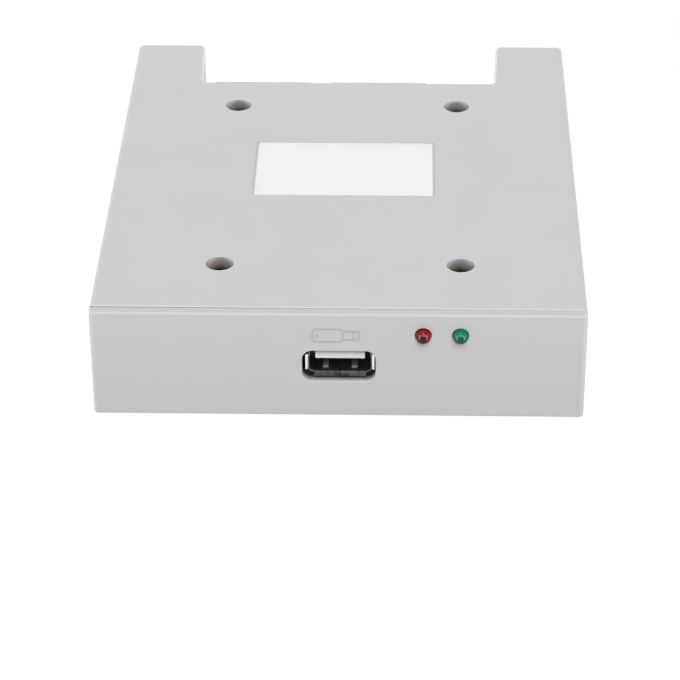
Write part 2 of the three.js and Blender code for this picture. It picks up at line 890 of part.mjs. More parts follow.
// A right-angle pin from inside the shroud to below the board, as a bent wire of square section
function bentPin(x, dropY, z) {
  const shape = strip([[mouthY - pinRecess, z], [dropY, z], [dropY, underBoard]], pinSize);
  return across(shape, x - pinSize / 2, x + pinSize / 2);
}

function dataHeader() {
  const half = headerLength / 2;
  const top = onBoard + headerHeight;
  const shroud = block(-half, half, headerFrontY, mouthY, onBoard, top);
  const cavity = block(
    -half + headerWall, half - headerWall, headerFrontY + headerBase, mouthY + overrun,
    onBoard + headerWall, top - headerWall,
  );
  const key = block(
    -keySlot / 2, keySlot / 2, headerFrontY + headerBase, mouthY + overrun, top - headerWall - overrun,
    top + overrun,
  );
  const middle = onBoard + headerHeight / 2;
  const pins = dataPins().map((pin) => (
    bentPin(pin.x, pin.dropY, middle + (pin.row - (pinRows - 1) / 2) * pinPitch)));
  return join(cut(shroud, cavity, key), pins);
}

function powerConnector() {
  const half = powerLength / 2;
  const top = onBoard + powerHeight;
  const shroud = block(-half, half, powerFrontY, mouthY, onBoard, top);
  const cavity = block(
    -half + powerWall, half - powerWall, powerFrontY + powerBase, mouthY + overrun,
    onBoard + powerWall, top - powerWall,
  );
  const latch = block(
    -latchSlot / 2, latchSlot / 2, powerFrontY + powerBase, mouthY + overrun, top - powerWall - overrun,
    top + overrun,
  );
  const pins = powerPinXs().map((x) => bentPin(x, powerTailY, onBoard + powerHeight / 2));
  return join(cut(shroud, cavity, latch), pins);
}

function selectorBlock() {
  const base = raised(
    roundedRectangle(-selectorWidth / 2, selectorWidth / 2, -selectorDepth / 2, selectorDepth / 2, capEdge),
    onBoard, onBoard + selectorBase,
  );
  const half = pinSize / 2;
  const top = onBoard + selectorBase + selectorPinReach;
  const pins = selectorPins().map(([x, y]) => block(x - half, x + half, y - half, y + half, underBoard, top));
  return join(base, pins);
}

// A jumper cap, open at both ends, with a socket for each of the two pins that it joins
function jumperCap() {
  const halfX = (pinPitch - capGap) / 2;
  const halfY = (pinRows * pinPitch - capGap) / 2;
  const body = raised(
    roundedRectangle(-halfX + capEdge, halfX - capEdge, -halfY + capEdge, halfY - capEdge, capEdge),
    0, capHeight, capEdge,
  );
  const half = pinSize / 2 + capClearance;
  const sockets = [-1, 1].map((row) => {
    const y = row * pinPitch / 2;
    return block(-half, half, y - half, y + half, -overrun, capHeight + overrun);
  });
  return cut(body, sockets);
}

// Small parts, each drawn about its own centre with its foot at height zero

// A chip with bent leads along two of its sides, or along all four
function chip(length, width, height, columns, pitch, leadWidth, quarters) {
  const outline = rectangle(
    -length / 2 + chipEdge, length / 2 - chipEdge, -width / 2 + chipEdge, width / 2 - chipEdge,
  );
  const body = raised(outline, leadThickness, height, chipEdge);
  const leads = quarters.flatMap((quarter) => {
    const edge = (quarter % 2 === 0 ? width : length) / 2;
    const shape = strip([
      [edge - chipEdge * 2, height / 2],
      [edge + leadReach * footShare, leadThickness / 2],
      [edge + leadReach, leadThickness / 2],
    ], leadThickness);
    return Array.from({ length: columns }, (_, index) => {
      const x = (index - (columns - 1) / 2) * pitch;
      const geometry = acrossGeometry(shape, x - leadWidth / 2, x + leadWidth / 2);
      geometry.rotateZ(quarter * Math.PI / 2);
      return solid(geometry);
    });
  });
  return join(body, leads);
}

function controller() {
  return chip(
    controllerSide, controllerSide, controllerHeight, controllerColumns, controllerPitch, controllerLead,
    [0, 1, 2, 3],
  );
}

function smallChip(columns) {
  const length = (columns - 1) * smallChipPitch + smallChipEnds;
  return chip(length, smallChipWidth, smallChipHeight, columns, smallChipPitch, smallChipLead, [0, 2]);
}

function regulator() {
  const legs = chip(
    regulatorLength, regulatorWidth, regulatorHeight, regulatorLeads, regulatorPitch, regulatorLead, [2],
  );
  const tab = chip(regulatorLength, regulatorWidth, regulatorHeight, 1, regulatorPitch, regulatorTab, [0]);
  return join(legs, tab);
}

function crystal() {
  const can = (grow) => roundedRectangle(
    -crystalLength / 2 - grow, crystalLength / 2 + grow, -crystalWidth / 2 - grow, crystalWidth / 2 + grow,
    crystalWidth / 2 + grow,
  );
  return join(
    raised(can(0), 0, crystalRim),
    raised(can(-crystalRim * 2), crystalRim / 2, crystalHeight, crystalRim),
  );
}

// The square foot of a can, with two blunt corners that mark its polarity
function canFoot(half, radius) {
  return roundedRectangle(-half, half, -half, half, canGroove, radius * canCornerShare);
}

function electrolyticCan() {
  const radius = canDiameter / 2;
  const grooveZ = canBase + canHeight * canGrooveShare;
  const can = solid(turned([
    [0, canBase / 2],
    [radius, canBase / 2],
    [radius, grooveZ - canGroove],
    [radius - canGroove, grooveZ],
    [radius, grooveZ + canGroove],
    [radius, canHeight - canGroove],
    [radius - canGroove, canHeight],
    [0, canHeight],
  ], smallSides));
  const half = radius + canGroove;
  return join(raised(canFoot(half, radius), 0, canBase), can);
}

function resistorNetwork() {
  return raised(
    rectangle(
      -networkLength / 2 + chipEdge, networkLength / 2 - chipEdge,
      -networkWidth / 2 + chipEdge, networkWidth / 2 - chipEdge,
    ),
    0, networkHeight, chipEdge,
  );
}

// A plated chip resistor or capacitor, with a terminal wrapped round each end
function tinyPart() {
  const half = tinyLength / 2;
  const side = tinyWidth / 2;
  const body = block(-half + tinyPlating, half - tinyPlating, -side, side, tinyPlating, tinyHeight);
  const terminals = [-1, 1].map((end) => {
    const xs = [end * half, end * (half - tinyTerminal)].sort((a, b) => a - b);
    return block(xs[0], xs[1], -side - tinyPlating, side + tinyPlating, 0, tinyHeight + tinyPlating);
  });
  return join(body, terminals);
}

// Materials

const material = (color, roughness, metalness = 0) => (
  new THREE.MeshStandardMaterial({ color, roughness, metalness }));
const casePlastic = material('#cbcac8', 0.55);
const paper = material('#f4f4f4', 0.6);
const steel = material('#b9b7b2', 0.35, 1);
const darkSteel = material('#5a5854', 0.4, 1);
const boardGreen = material('#1f6b3a', 0.5);
const whitePlastic = material('#ececea', 0.5);
const gold = material('#cfa84f', 0.3, 1);
const redLens = material('#a01e1a', 0.15);
const greenLens = material('#12806a', 0.15);
const tin = material('#c9cbcc', 0.3, 1);
const blackPlastic = material('#1b1b1c', 0.6);
const creamPlastic = material('#e5e1d2', 0.55);
const bluePlastic = material('#2f4f9e', 0.5);
const chipBlack = material('#26272a', 0.65);
const aluminium = material('#c3c6c8', 0.35, 1);
const networkBlack = material('#332b26', 0.5);
const ceramicTan = material('#b89468', 0.6);

// Assembly

const emulator = new THREE.Group();
const drive = new THREE.Group();
drive.position.set(0, -caseDepth / 2, 0);
emulator.add(drive);

// Adds a piece to the drive under its own name, at a place given from the front of the bottom face
function place(name, piece, look, x = 0, y = 0, z = 0) {
  const geometry = piece.isBufferGeometry ? piece : geometryOf(piece);
  const mesh = new THREE.Mesh(geometry, look);
  mesh.name = name;
  mesh.position.set(x, y, z);
  drive.add(mesh);
}

place('top_cover', topCover(), casePlastic);
place('bottom_cover', bottomCover(), casePlastic);
place('front_panel', frontPanel(), casePlastic);
place('label', label(), paper);
wellPlaces.forEach(([corner, x, y]) => {
  place(`case_screw_${corner}`, screw(), darkSteel, x, y, wellSeat + seat);
});

place('circuit_board', circuitBoard(), boardGreen);
place('usb_shell', socketShell(), steel, socketX, 0, socketHeight);
place('usb_insulator', socketInsulator(), whitePlastic, socketX, 0, socketHeight);
contactXs.forEach((x, index) => {
  place(`usb_contact_${index + 1}`, contact(), gold, socketX + x, 0, socketHeight);
});

[['red', redLens], ['green', greenLens]].forEach(([colour, look], index) => {
  const x = lampXs[index];
  place(`${colour}_lamp`, lens(), look, x, 0, lampHeight);
  place(`${colour}_lamp_lead_1`, lampLead(), tin, x - leadSpacing / 2, 0, lampHeight);
  place(`${colour}_lamp_lead_2`, lampLead(), tin, x + leadSpacing / 2, 0, lampHeight);
});

place('data_header', dataHeader(), blackPlastic, headerX);
place('power_connector', powerConnector(), creamPlastic, powerX);
place('selector_block', selectorBlock(), blackPlastic, powerX, selectorY);
[-1, 1].forEach((side, index) => {
  const x = powerX + side * (selectorColumns - 1) * pinPitch / 2;
  place(`jumper_cap_${index + 1}`, jumperCap(), bluePlastic, x, selectorY, onBoard + selectorBase + seat);
});

// Places on the board as shares of its width, from its middle, and of its depth, from its front edge
const boardDepth = boardBack - boardFront;
const smallParts = [
  ['microcontroller', controller(), chipBlack, [0.02, 0.42]],
  ['memory_chip', smallChip(memoryColumns), chipBlack, [-0.24, 0.4]],
  ['bus_driver_1', smallChip(driverColumns), chipBlack, [-0.22, 0.65]],
  ['bus_driver_2', smallChip(driverColumns), chipBlack, [0.06, 0.65]],
  ['voltage_regulator', regulator(), chipBlack, [0.3, 0.3]],
  ['crystal', crystal(), aluminium, [0.04, 0.55]],
  ['electrolytic_capacitor_1', electrolyticCan(), aluminium, [-0.22, 0.24]],
  ['electrolytic_capacitor_2', electrolyticCan(), aluminium, [0.32, 0.62]],
  ['resistor_network', resistorNetwork(), networkBlack, [-0.08, 0.77]],
  ['ceramic_capacitor_1', tinyPart(), ceramicTan, [-0.1, 0.3]],
  ['ceramic_capacitor_2', tinyPart(), ceramicTan, [0.16, 0.48]],
  ['ceramic_capacitor_3', tinyPart(), ceramicTan, [-0.3, 0.56]],
  ['ceramic_capacitor_4', tinyPart(), ceramicTan, [0.3, 0.4]],
  ['chip_resistor_1', tinyPart(), chipBlack, [0.22, 0.17]],
  ['chip_resistor_2', tinyPart(), chipBlack, [0.15, 0.17]],
  ['chip_resistor_3', tinyPart(), chipBlack, [-0.14, 0.17]],
  ['chip_resistor_4', tinyPart(), chipBlack, [-0.08, 0.17]],
];
smallParts.forEach(([name, piece, look, [acrossShare, backShare]]) => {
  place(name, piece, look, boardWidth * acrossShare, boardFront + boardDepth * backShare, onBoard);
});

export default emulator;
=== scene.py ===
"""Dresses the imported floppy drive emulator: finer meshes, finishes, studio light and camera."""

import logging
import math
from collections.abc import Callable, Sequence
from dataclasses import dataclass, field
from enum import Enum
from functools import cached_property

import bmesh
import bpy
from mathutils import Euler, Matrix, Vector


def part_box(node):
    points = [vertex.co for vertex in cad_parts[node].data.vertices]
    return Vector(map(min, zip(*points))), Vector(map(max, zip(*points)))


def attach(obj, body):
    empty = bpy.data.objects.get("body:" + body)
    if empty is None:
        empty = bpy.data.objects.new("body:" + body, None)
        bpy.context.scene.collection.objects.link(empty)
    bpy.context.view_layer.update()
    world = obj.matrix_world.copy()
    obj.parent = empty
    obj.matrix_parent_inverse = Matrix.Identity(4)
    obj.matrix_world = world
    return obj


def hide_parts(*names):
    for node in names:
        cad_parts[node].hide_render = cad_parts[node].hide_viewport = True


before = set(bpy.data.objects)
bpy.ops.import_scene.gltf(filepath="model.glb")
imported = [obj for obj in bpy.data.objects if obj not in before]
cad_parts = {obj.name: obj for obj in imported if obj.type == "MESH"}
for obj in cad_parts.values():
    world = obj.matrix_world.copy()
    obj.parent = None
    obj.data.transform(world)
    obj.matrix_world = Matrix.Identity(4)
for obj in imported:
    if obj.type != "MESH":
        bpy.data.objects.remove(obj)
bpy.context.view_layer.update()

MM = 0.001
FULL_TURN = 2 * math.pi
WELD = 0.0005
SHARP_ANGLE = math.radians(32)
OVERRUN = 1.0
HAIR = 0.02
SLACK = 0.01
BOARD_GAP = 0.1
LEAST_CORNER = 0.08
DRIVE = "drive"
LOG = logging.getLogger("drive_looks")

Pair = tuple[float, float]
Triple = tuple[float, float, float]
Colour = tuple[float, float, float, float]
Material = bpy.types.Material
Face = bmesh.types.BMFace
EdgePick = Callable[[Vector, Vector], bool]
FacePick = Callable[[Face], "Finish"]

SCREW_PLACES = ("front_left", "front_right", "rear_left", "rear_right")
LAMP_COLOURS = ("red", "green")


class Axis(Enum):
    """The direction in which an outline is pushed or about which a profile is turned."""

    X = 0
    Y = 1
    Z = 2

    def point(self, first: float, second: float, along: float) -> Vector:
        """Puts two outline coordinates and a distance along the axis in the drive's frame.

        Args:
            first: The outline's first coordinate, which is X, or Y for the X axis.
            second: Its second coordinate, which is Z, or Y for the Z axis.
            along: The distance along the axis.

        Returns:
            The point.
        """
        place = [first, second]
        place.insert(self.value, along)
        return Vector(place)


@dataclass(frozen=True)
class Box:
    """The extent of a CAD node in millimetres."""

    low: Vector
    high: Vector

    @classmethod
    def of(cls, node: str) -> "Box":
        """Reads a node's extent from the frame."""
        low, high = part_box(node)
        return cls(low / MM, high / MM)

    @property
    def centre(self) -> Vector:
        """The middle of the box."""
        return (self.low + self.high) / 2

    @property
    def size(self) -> Vector:
        """The box's width, depth and height."""
        return self.high - self.low


def near(first: float, second: float, slack: float = SLACK) -> bool:
    """Tells whether two lengths are the same within a slack."""
    return abs(first - second) < slack


def at_level(along: Axis, level: float, slack: float = SLACK) -> EdgePick:
    """Makes a test for edges that lie at a level along an axis, within a slack."""
    i = along.value
    return lambda a, b: near(a[i], level, slack) and near(b[i], level, slack)


def upright(a: Vector, b: Vector) -> bool:
    """Tells whether an edge stands upright."""
    return near(a.x, b.x) and near(a.y, b.y)


def quarter_round(steps: int) -> list[Pair]:
    """Lists how far the points of a unit quarter round lie from its two tangents, the end one last."""
    turns = [math.pi / 2 * step / steps for step in range(steps + 1)]
    return [(1 - math.cos(turn), 1 - math.sin(turn)) for turn in turns]


class Solid:
    """A mesh in millimetres, in the drive's own frame, shaped with mesh operators."""

    def __init__(self) -> None:
        """Starts an empty mesh."""
        self.bm = bmesh.new()

    @classmethod
    def block(cls, low: Sequence[float], high: Sequence[float]) -> "Solid":
        """Makes a block between two corners.

        Args:
            low: The corner where each coordinate is least.
            high: The opposite corner.

        Returns:
            The block.
        """
        solid = cls()
        size = Vector(high) - Vector(low)
        middle = (Vector(high) + Vector(low)) / 2
        place = Matrix.Translation(middle) @ Matrix.Diagonal((*size, 1))
        bmesh.ops.create_cube(solid.bm, size=1, matrix=place)
        return solid

    @classmethod
    def sheet(cls, corners: Sequence[Pair], at: float, along: Axis) -> "Solid":
        """Makes one flat face from an outline's few corners.

        Args:
            corners: The outline.
            at: Where the face lies along the axis.
            along: The axis that the face is square to.

        Returns:
            The open sheet.
        """
        solid = cls()
        verts = [solid.bm.verts.new(along.point(a, b, at)) for a, b in corners]
        solid.bm.faces.new(verts)
        return solid

    @classmethod
    def slab(cls, corners: Sequence[Pair], low: float, high: float, along: Axis = Axis.Z) -> "Solid":
        """Makes a body by pushing an outline of a few corners along an axis.

        Args:
            corners: The outline.
            low: Where the body starts along the axis.
            high: Where it ends.
            along: The axis.

        Returns:
            The closed body.
        """
        solid = cls.sheet(corners, low, along)
        solid.pushed(solid.bm.faces[:], along.point(0, 0, high - low))
        return solid.outward()

    @classmethod
    def spun(cls, profile: Sequence[Pair], at: Sequence[float], steps: int, along: Axis = Axis.Z) -> "Solid":
        """Turns a profile that starts and ends on its axis into a body.

        Args:
            profile: Pairs of radius and distance along the axis.
            at: The point from which the distances count.
            steps: The number of faces round the axis.
            along: The axis.

        Returns:
            The closed body.
        """
        solid = cls()
        bm = solid.bm
        start = Vector(at)
        verts = [bm.verts.new(start + along.point(radius, 0, height)) for radius, height in profile]
        edges = [bm.edges.new(pair) for pair in zip(verts, verts[1:])]
        bmesh.ops.spin(
            bm,
            geom=verts + edges,
            cent=start,
            axis=along.point(0, 0, 1),
            angle=FULL_TURN,
            steps=steps,
            use_merge=True,
        )
        return solid.outward()

    @classmethod
    def strip(cls, line: Sequence[Pair], width: float, thickness: float, bend: float = 0.0) -> "Solid":
        """Makes a bent strip of sheet about X zero.

        Args:
            line: Pairs of Y and Z along the strip's underside or outer side.
            width: The strip's width along X.
            thickness: The sheet's thickness, to the left of the line's direction.
            bend: The radius of its bends.

        Returns:
            The closed strip.
        """
        solid = cls()
        bm = solid.bm
        verts = [bm.verts.new((-width / 2, y, z)) for y, z in line]
        edges = [bm.edges.new(pair) for pair in zip(verts, verts[1:])]
        pushed = bmesh.ops.extrude_edge_only(bm, edges=edges)
        moved = [item for item in pushed["geom"] if isinstance(item, bmesh.types.BMVert)]
        bmesh.ops.translate(bm, verts=moved, vec=(width, 0, 0))
        if bend:
            folds = [e for e in bm.edges if len(e.link_faces) == 2]
            solid.rounded(folds, bend, 4)
        for face in bm.faces:
            face.normal_update()
        bmesh.ops.solidify(bm, geom=bm.faces[:], thickness=thickness)
        return solid.outward()

    def outward(self) -> "Solid":
        """Merges doubles and points the faces outwards.

        Returns:
            This body.
        """
        bmesh.ops.remove_doubles(self.bm, verts=self.bm.verts[:], dist=WELD)
        bmesh.ops.dissolve_degenerate(self.bm, dist=WELD, edges=self.bm.edges[:])
        bmesh.ops.recalc_face_normals(self.bm, faces=self.bm.faces[:])
        return self

    def pushed(self, faces: Sequence[Face], by: Sequence[float]) -> list[Face]:
        """Extrudes faces by a vector.

        Args:
            faces: The faces to push.
            by: How far and which way.

        Returns:
            The faces at the far end.
        """
        made = bmesh.ops.extrude_face_region(self.bm, geom=list(faces))["geom"]
        verts = [item for item in made if isinstance(item, bmesh.types.BMVert)]
        bmesh.ops.translate(self.bm, verts=verts, vec=by)
        return [item for item in made if isinstance(item, Face)]

    def shifted(self, faces: Sequence[Face], by: Sequence[float]) -> None:
        """Shifts some faces by a vector."""
        verts = list({v for face in faces for v in face.verts})
        bmesh.ops.translate(self.bm, verts=verts, vec=by)

    def rounded(
        self,
        parts: Sequence[bmesh.types.BMEdge | bmesh.types.BMVert],
        width: float,
        segments: int,
        affect: str = "EDGES",
    ) -> None:
        """Rounds edges or corner points over.

        Args:
            parts: The edges or the points.
            width: The width of the rounding.
            segments: The number of faces across it.
            affect: Whether it works on EDGES or on VERTICES.
        """
        bmesh.ops.bevel(
            self.bm,
            geom=list(parts),
            offset=width,
            affect=affect,
            segments=segments,
            profile=0.5,
            material=-1,
            clamp_overlap=True,
        )

    def bevel(self, pick: EdgePick, width: float, segments: int = 4) -> "Solid":
        """Rounds over the edges whose two ends a test accepts."""
        self.rounded([e for e in self.bm.edges if pick(e.verts[0].co, e.verts[1].co)], width, segments)
        return self

    def corners(self, along: Axis, radius: float, segments: int = 6) -> "Solid":
        """Rounds the edges that run along an axis."""
        i = along.value
        return self.bevel(lambda a, b: near((a - b).length, abs(a[i] - b[i])), radius, segments)

    def all_edges(self, radius: float, segments: int = 2) -> "Solid":
        """Rounds every edge of a plain body."""
        self.rounded(self.bm.edges[:], radius, segments)
        return self

    def changed(self, operator: Callable[..., object], **settings: object) -> "Solid":
        """Runs an operator on all the mesh's points."""
        operator(self.bm, verts=self.bm.verts[:], **settings)
        return self

    def moved(self, by: Sequence[float]) -> "Solid":
        """Shifts the mesh."""
        return self.changed(bmesh.ops.translate, vec=by)

    def turned(self, angle: float, along: Axis, at: Sequence[float] = (0, 0, 0)) -> "Solid":
        """Turns the mesh about an axis through a point."""
        turn = Matrix.Rotation(angle, 3, along.point(0, 0, 1))
        return self.changed(bmesh.ops.rotate, cent=at, matrix=turn)

    def dressed(self, pick: FacePick, finishes: Sequence["Finish"]) -> "Solid":
        """Gives each face the finish that a test picks for it.

        Args:
            pick: The test.
            finishes: The piece's finishes.

        Returns:
            This body.
        """
        for face in self.bm.faces:
            face.material_index = finishes.index(pick(face))
        return self

    def also(self, *others: "Solid") -> "Solid":
        """Adds other meshes as shells of their own.

        Args:
            others: The other meshes.

        Returns:
            This body with its new shells.
        """
        for other in others:
            carried = bpy.data.meshes.new("carried")
            other.bm.to_mesh(carried)
            self.bm.from_mesh(carried)
            bpy.data.meshes.remove(carried)
        return self

    def plus(self, *tools: "Solid") -> "Solid":
        """Joins bodies into this one."""
        return self._combined("UNION", tools)

    def minus(self, *tools: "Solid") -> "Solid":
        """Cuts bodies out of this one."""
        return self._combined("DIFFERENCE", tools)

    def _combined(self, operation: str, tools: Sequence["Solid"]) -> "Solid":
        """Applies one boolean per tool.

        Args:
            operation: The modifier's operation.
            tools: The other bodies.

        Returns:
            This body, changed.
        """
        stock = self._stock()
        helpers = [tool._stock() for tool in tools]
        for helper in helpers:
            modifier = stock.modifiers.new("tool", "BOOLEAN")
            modifier.operation = operation
            modifier.solver = "EXACT"
            modifier.object = helper
        graph = bpy.context.evaluated_depsgraph_get()
        result = bpy.data.meshes.new_from_object(stock.evaluated_get(graph))
        self.bm.clear()
        self.bm.from_mesh(result)
        bpy.data.meshes.remove(result)
        for helper in [stock, *helpers]:
            bpy.data.meshes.remove(helper.data)
        return self.outward()

    def _stock(self) -> bpy.types.Object:
        """Puts the mesh in a passing object for a boolean.

        Returns:
            The object.
        """
        mesh = bpy.data.meshes.new("stock")
        self.bm.to_mesh(mesh)
        return placed("stock", mesh)


def placed(name: str, data: bpy.types.ID) -> bpy.types.Object:
    """Puts a mesh, a lamp or a camera in the scene.

    Args:
        name: The object's name.
        data: What it shows.

    Returns:
        The object.
    """
    made = bpy.data.objects.new(name, data)
    bpy.context.scene.collection.objects.link(made)
    return made


def rectangle(x0: float, x1: float, y0: float, y1: float) -> list[Pair]:
    """Lists the corners of a rectangle."""
    return [(x0, y0), (x1, y0), (x1, y1), (x0, y1)]


def ring(sides: Sequence[float], line: float, ends: Pair, corner: float = 0.0) -> Solid:
    """Makes a rectangular ring that stands square to the Y axis.

    Args:
        sides: Its left, right, lower and upper side.
        line: The width of its line.
        ends: The Y of its front and of its back.
        corner: The radius of its corners, if they are rounded.

    Returns:
        The ring.
    """
    x0, x1, z0, z1 = sides
    outer = Solid.slab(rectangle(x0, x1, z0, z1), *ends, Axis.Y)
    hole = rectangle(x0 + line, x1 - line, z0 + line, z1 - line)
    inner = Solid.slab(hole, ends[0] - OVERRUN, ends[1] + OVERRUN, Axis.Y)
    if corner:
        outer.corners(Axis.Y, corner, 5)
        inner.corners(Axis.Y, max(corner - line, LEAST_CORNER), 4)
    return outer.minus(inner)


def cylinder(radius: float, at: Sequence[float], length: float, steps: int, along: Axis = Axis.Z) -> Solid:
    """Makes a cylinder that starts at a point and runs along an axis."""
    return Solid.spun([(0, 0), (radius, 0), (radius, length), (0, length)], at, steps, along)


def srgb(red: int, green: int, blue: int) -> Colour:
    """Turns a display colour of 0 to 255 into the linear colour that shaders take."""
    shares = [part / 255 for part in (red, green, blue)]
    return (*[c / 12.92 if c <= 0.04045 else ((c + 0.055) / 1.055) ** 2.4 for c in shares], 1.0)


def dimmed(colour: Colour, share: float) -> Colour:
    """Darkens a linear colour by a share."""
    return (*[part * (1 - share) for part in colour[:3]], 1.0)


class Value:
    """A number that varies over a surface, with Python's operators."""

    def __init__(self, shader: "Shader", socket: bpy.types.NodeSocket) -> None:
        """Wraps a socket of a shader."""
        self.shader = shader
        self.socket = socket

    def math(self, operation: str, *inputs: "Value | float") -> "Value":
        """Adds a Math node for an operation on the given inputs."""
        sockets = dict(enumerate(inputs))
        return Value(self.shader, self.shader.node("ShaderNodeMath", sockets, operation=operation).outputs[0])

    def __add__(self, other: "Value | float") -> "Value":
        """Adds."""
        return self.math("ADD", self, other)

    __radd__ = __add__

    def __mul__(self, other: "Value | float") -> "Value":
        """Multiplies."""
        return self.math("MULTIPLY", self, other)

    __rmul__ = __mul__

    def __sub__(self, other: "Value | float") -> "Value":
        """Subtracts."""
        return self.math("SUBTRACT", self, other)

    def __rsub__(self, other: "Value | float") -> "Value":
        """Subtracts from a number."""
        return self.math("SUBTRACT", other, self)

    def root(self) -> "Value":
        """Takes the square root."""
        return self.math("SQRT", self)

    def above(self, limit: float) -> "Value":
        """Is one where the number is over a limit and zero elsewhere."""
        return self.math("GREATER_THAN", self, limit)

    def smooth(self, low: float, high: float) -> "Value":
        """Rises gently from zero to one between two limits.

        Args:
            low: Where it starts.
            high: Where it ends.

        Returns:
            The share.
        """
        sockets = {"Value": self, "From Min": low, "From Max": high}
        made = self.shader.node("ShaderNodeMapRange", sockets, interpolation_type="SMOOTHSTEP")
        return Value(self.shader, made.outputs["Result"])

    def distance_from(self, level: float) -> "Value":
        """Gives how far the number is from a level."""
        return self.math("ABSOLUTE", self - level)


class Shader:
    """The nodes of a material or of the world."""

    def __init__(self, owner: Material | bpy.types.World) -> None:
        """Empties the owner's node tree.

        Args:
            owner: The material or the world.
        """
        owner.use_nodes = True
        self.owner = owner
        self.tree = owner.node_tree
        self.tree.nodes.clear()

    @cached_property
    def place(self) -> bpy.types.NodeSocket:
        """The place on the object, in its own coordinates."""
        return self.node("ShaderNodeTexCoord").outputs["Object"]

    def node(
        self, kind: str, sockets: dict[str | int, object] | None = None, **settings: object
    ) -> bpy.types.Node:
        """Adds a node.

        Args:
            kind: The node's type.
            sockets: The values or links of its inputs.
            settings: The node's own settings, set first.

        Returns:
            The node.
        """
        made = self.tree.nodes.new(kind)
        for key, value in settings.items():
            setattr(made, key, value)
        for key, value in (sockets or {}).items():
            source = value.socket if isinstance(value, Value) else value
            if isinstance(source, bpy.types.NodeSocket):
                self.tree.links.new(source, made.inputs[key])
            else:
                made.inputs[key].default_value = source
        return made

    def noise(self, size: float, detail: float = 2.0, stretch: Triple = (1, 1, 1)) -> Value:
        """Gives soft noise.

        Args:
            size: The width of its blotches in millimetres.
            detail: How many finer layers it has.
            stretch: How much finer it is along each axis.

        Returns:
            The noise, from zero to one.
        """
        mapping = self.node("ShaderNodeMapping", {"Vector": self.place, "Scale": stretch})
        sockets = {"Vector": mapping.outputs[0], "Scale": 1 / (size * MM), "Detail": detail}
        return Value(self, self.node("ShaderNodeTexNoise", sockets).outputs["Fac"])

    def along(self, axis: Axis) -> Value:
        """Gives the coordinate along an axis in millimetres."""
        split = self.node("ShaderNodeSeparateXYZ", {"Vector": self.place})
        return Value(self, split.outputs[axis.value]) * (1 / MM)

    def mixed(self, share: Value, first: object, second: object) -> bpy.types.NodeSocket:
        """Blends two colours, with a share of the second."""
        made = self.node("ShaderNodeMix", {0: share, 6: first, 7: second}, data_type="RGBA")
        return made.outputs[2]

    def bump(self, height: Value, depth: float, strength: float = 1.0) -> bpy.types.NodeSocket:
        """Turns a height from zero to one into a normal, with a depth in millimetres."""
        sockets = {"Height": height, "Distance": depth * MM, "Strength": strength}
        return self.node("ShaderNodeBump", sockets).outputs[0]

    def surface(self, **sockets: object) -> Material:
        """Ends the material with a principled shader.

        Args:
            sockets: Its inputs, with underscores for the spaces in their names.

        Returns:
            The material.
        """
        named = {key.replace("_", " "): value for key, value in sockets.items()}
        principled = self.node("ShaderNodeBsdfPrincipled", named)
        self.node("ShaderNodeOutputMaterial", {"Surface": principled.outputs[0]})
        return self.owner


@dataclass(frozen=True)
class Finish:
    """A surface finish, made once and shared by the pieces that have it."""

    name: str

    def shade(self, shader: Shader) -> Material:
        """Builds the finish's nodes."""
        raise NotImplementedError

    def material(self) -> Material:
        """Gives the finish's material."""
        title = f"{self.name}_finish"
        return bpy.data.materials.get(title) or self.shade(Shader(bpy.data.materials.new(title)))


@dataclass(frozen=True)
class MouldedPlastic(Finish):
    """Moulded plastic with a fine eroded grain and a slight unevenness of tone."""

    colour: Colour
    roughness: float = 0.5
    grain: float = 0.35
    grain_depth: float = 0.004
    grain_sheen: float = 0.08
    flow_sheen: float = 0.05
    mottle: float = 0.03
    cloud: float = 24.0
    cloud_edge: Pair = (0.3, 0.7)
    specular: float = 0.5

    def shade(self, shader: Shader) -> Material:
        """Builds the nodes of moulded plastic.

        Args:
            shader: The material's empty nodes.

        Returns:
            The material.
        """
        cloud = shader.noise(self.cloud, 3).smooth(*self.cloud_edge)
        grain = shader.noise(self.grain, 3)
        flow = shader.noise(self.cloud / 3, 2)
        gloss = self.roughness - (self.grain_sheen + self.flow_sheen) / 2
        return shader.surface(
            Base_Color=shader.mixed(cloud, dimmed(self.colour, self.mottle), self.colour),
            Roughness=grain * self.grain_sheen + flow * self.flow_sheen + gloss,
            Specular_IOR_Level=self.specular,
            Normal=shader.bump(grain, self.grain_depth),
        )


@dataclass(frozen=True)
class PaintedShadePlastic(MouldedPlastic):
    """Moulded plastic with painted shade: its tone changes with the depth behind a level."""

    grain_sheen: float = 0.1
    axis: Axis = Axis.Z
    level: float = 24.7
    sense: float = -1.0
    # The default middle and deep tones are painted shade, dark in the lower part of a well's bore.
    middle: Colour = (0.3, 0.27, 0.245, 1.0)
    middle_reach: Pair = (-0.4, 1.3)
    deep: Colour = (0.012, 0.009, 0.007, 1.0)
    deep_reach: Pair = (0.9, 3.5)
    waver: float = 0.3
    waver_size: float = 2.0
    painted_side_light: float = 0.0
    bore_x: float = 25.2

    def shade(self, shader: Shader) -> Material:
        """Builds the nodes of plastic whose painted shade changes with depth.

        Args:
            shader: The material's empty nodes.

        Returns:
            The material.
        """
        waver = (shader.noise(self.waver_size, 3) - 0.5) * self.waver
        depth = (shader.along(self.axis) - self.level) * self.sense + waver
        # Painted light: a bore's sides are painted lighter than its middle.
        if self.painted_side_light:
            beside = shader.along(Axis.X).distance_from(0.0).distance_from(self.bore_x)
            depth = depth - beside * beside * self.painted_side_light
        # Painted shade: the colour goes over to the middle tone and then the deep tone with the depth.
        upper = shader.mixed(depth.smooth(*self.middle_reach), self.colour, self.middle)
        lower = shader.mixed(depth.smooth(*self.deep_reach), upper, self.deep)
        grain = shader.noise(self.grain, 3)
        return shader.surface(
            Base_Color=lower,
            Roughness=grain * self.grain_sheen + (self.roughness - self.grain_sheen / 2),
            Specular_IOR_Level=self.specular,
            Normal=shader.bump(grain, self.grain_depth),
        )


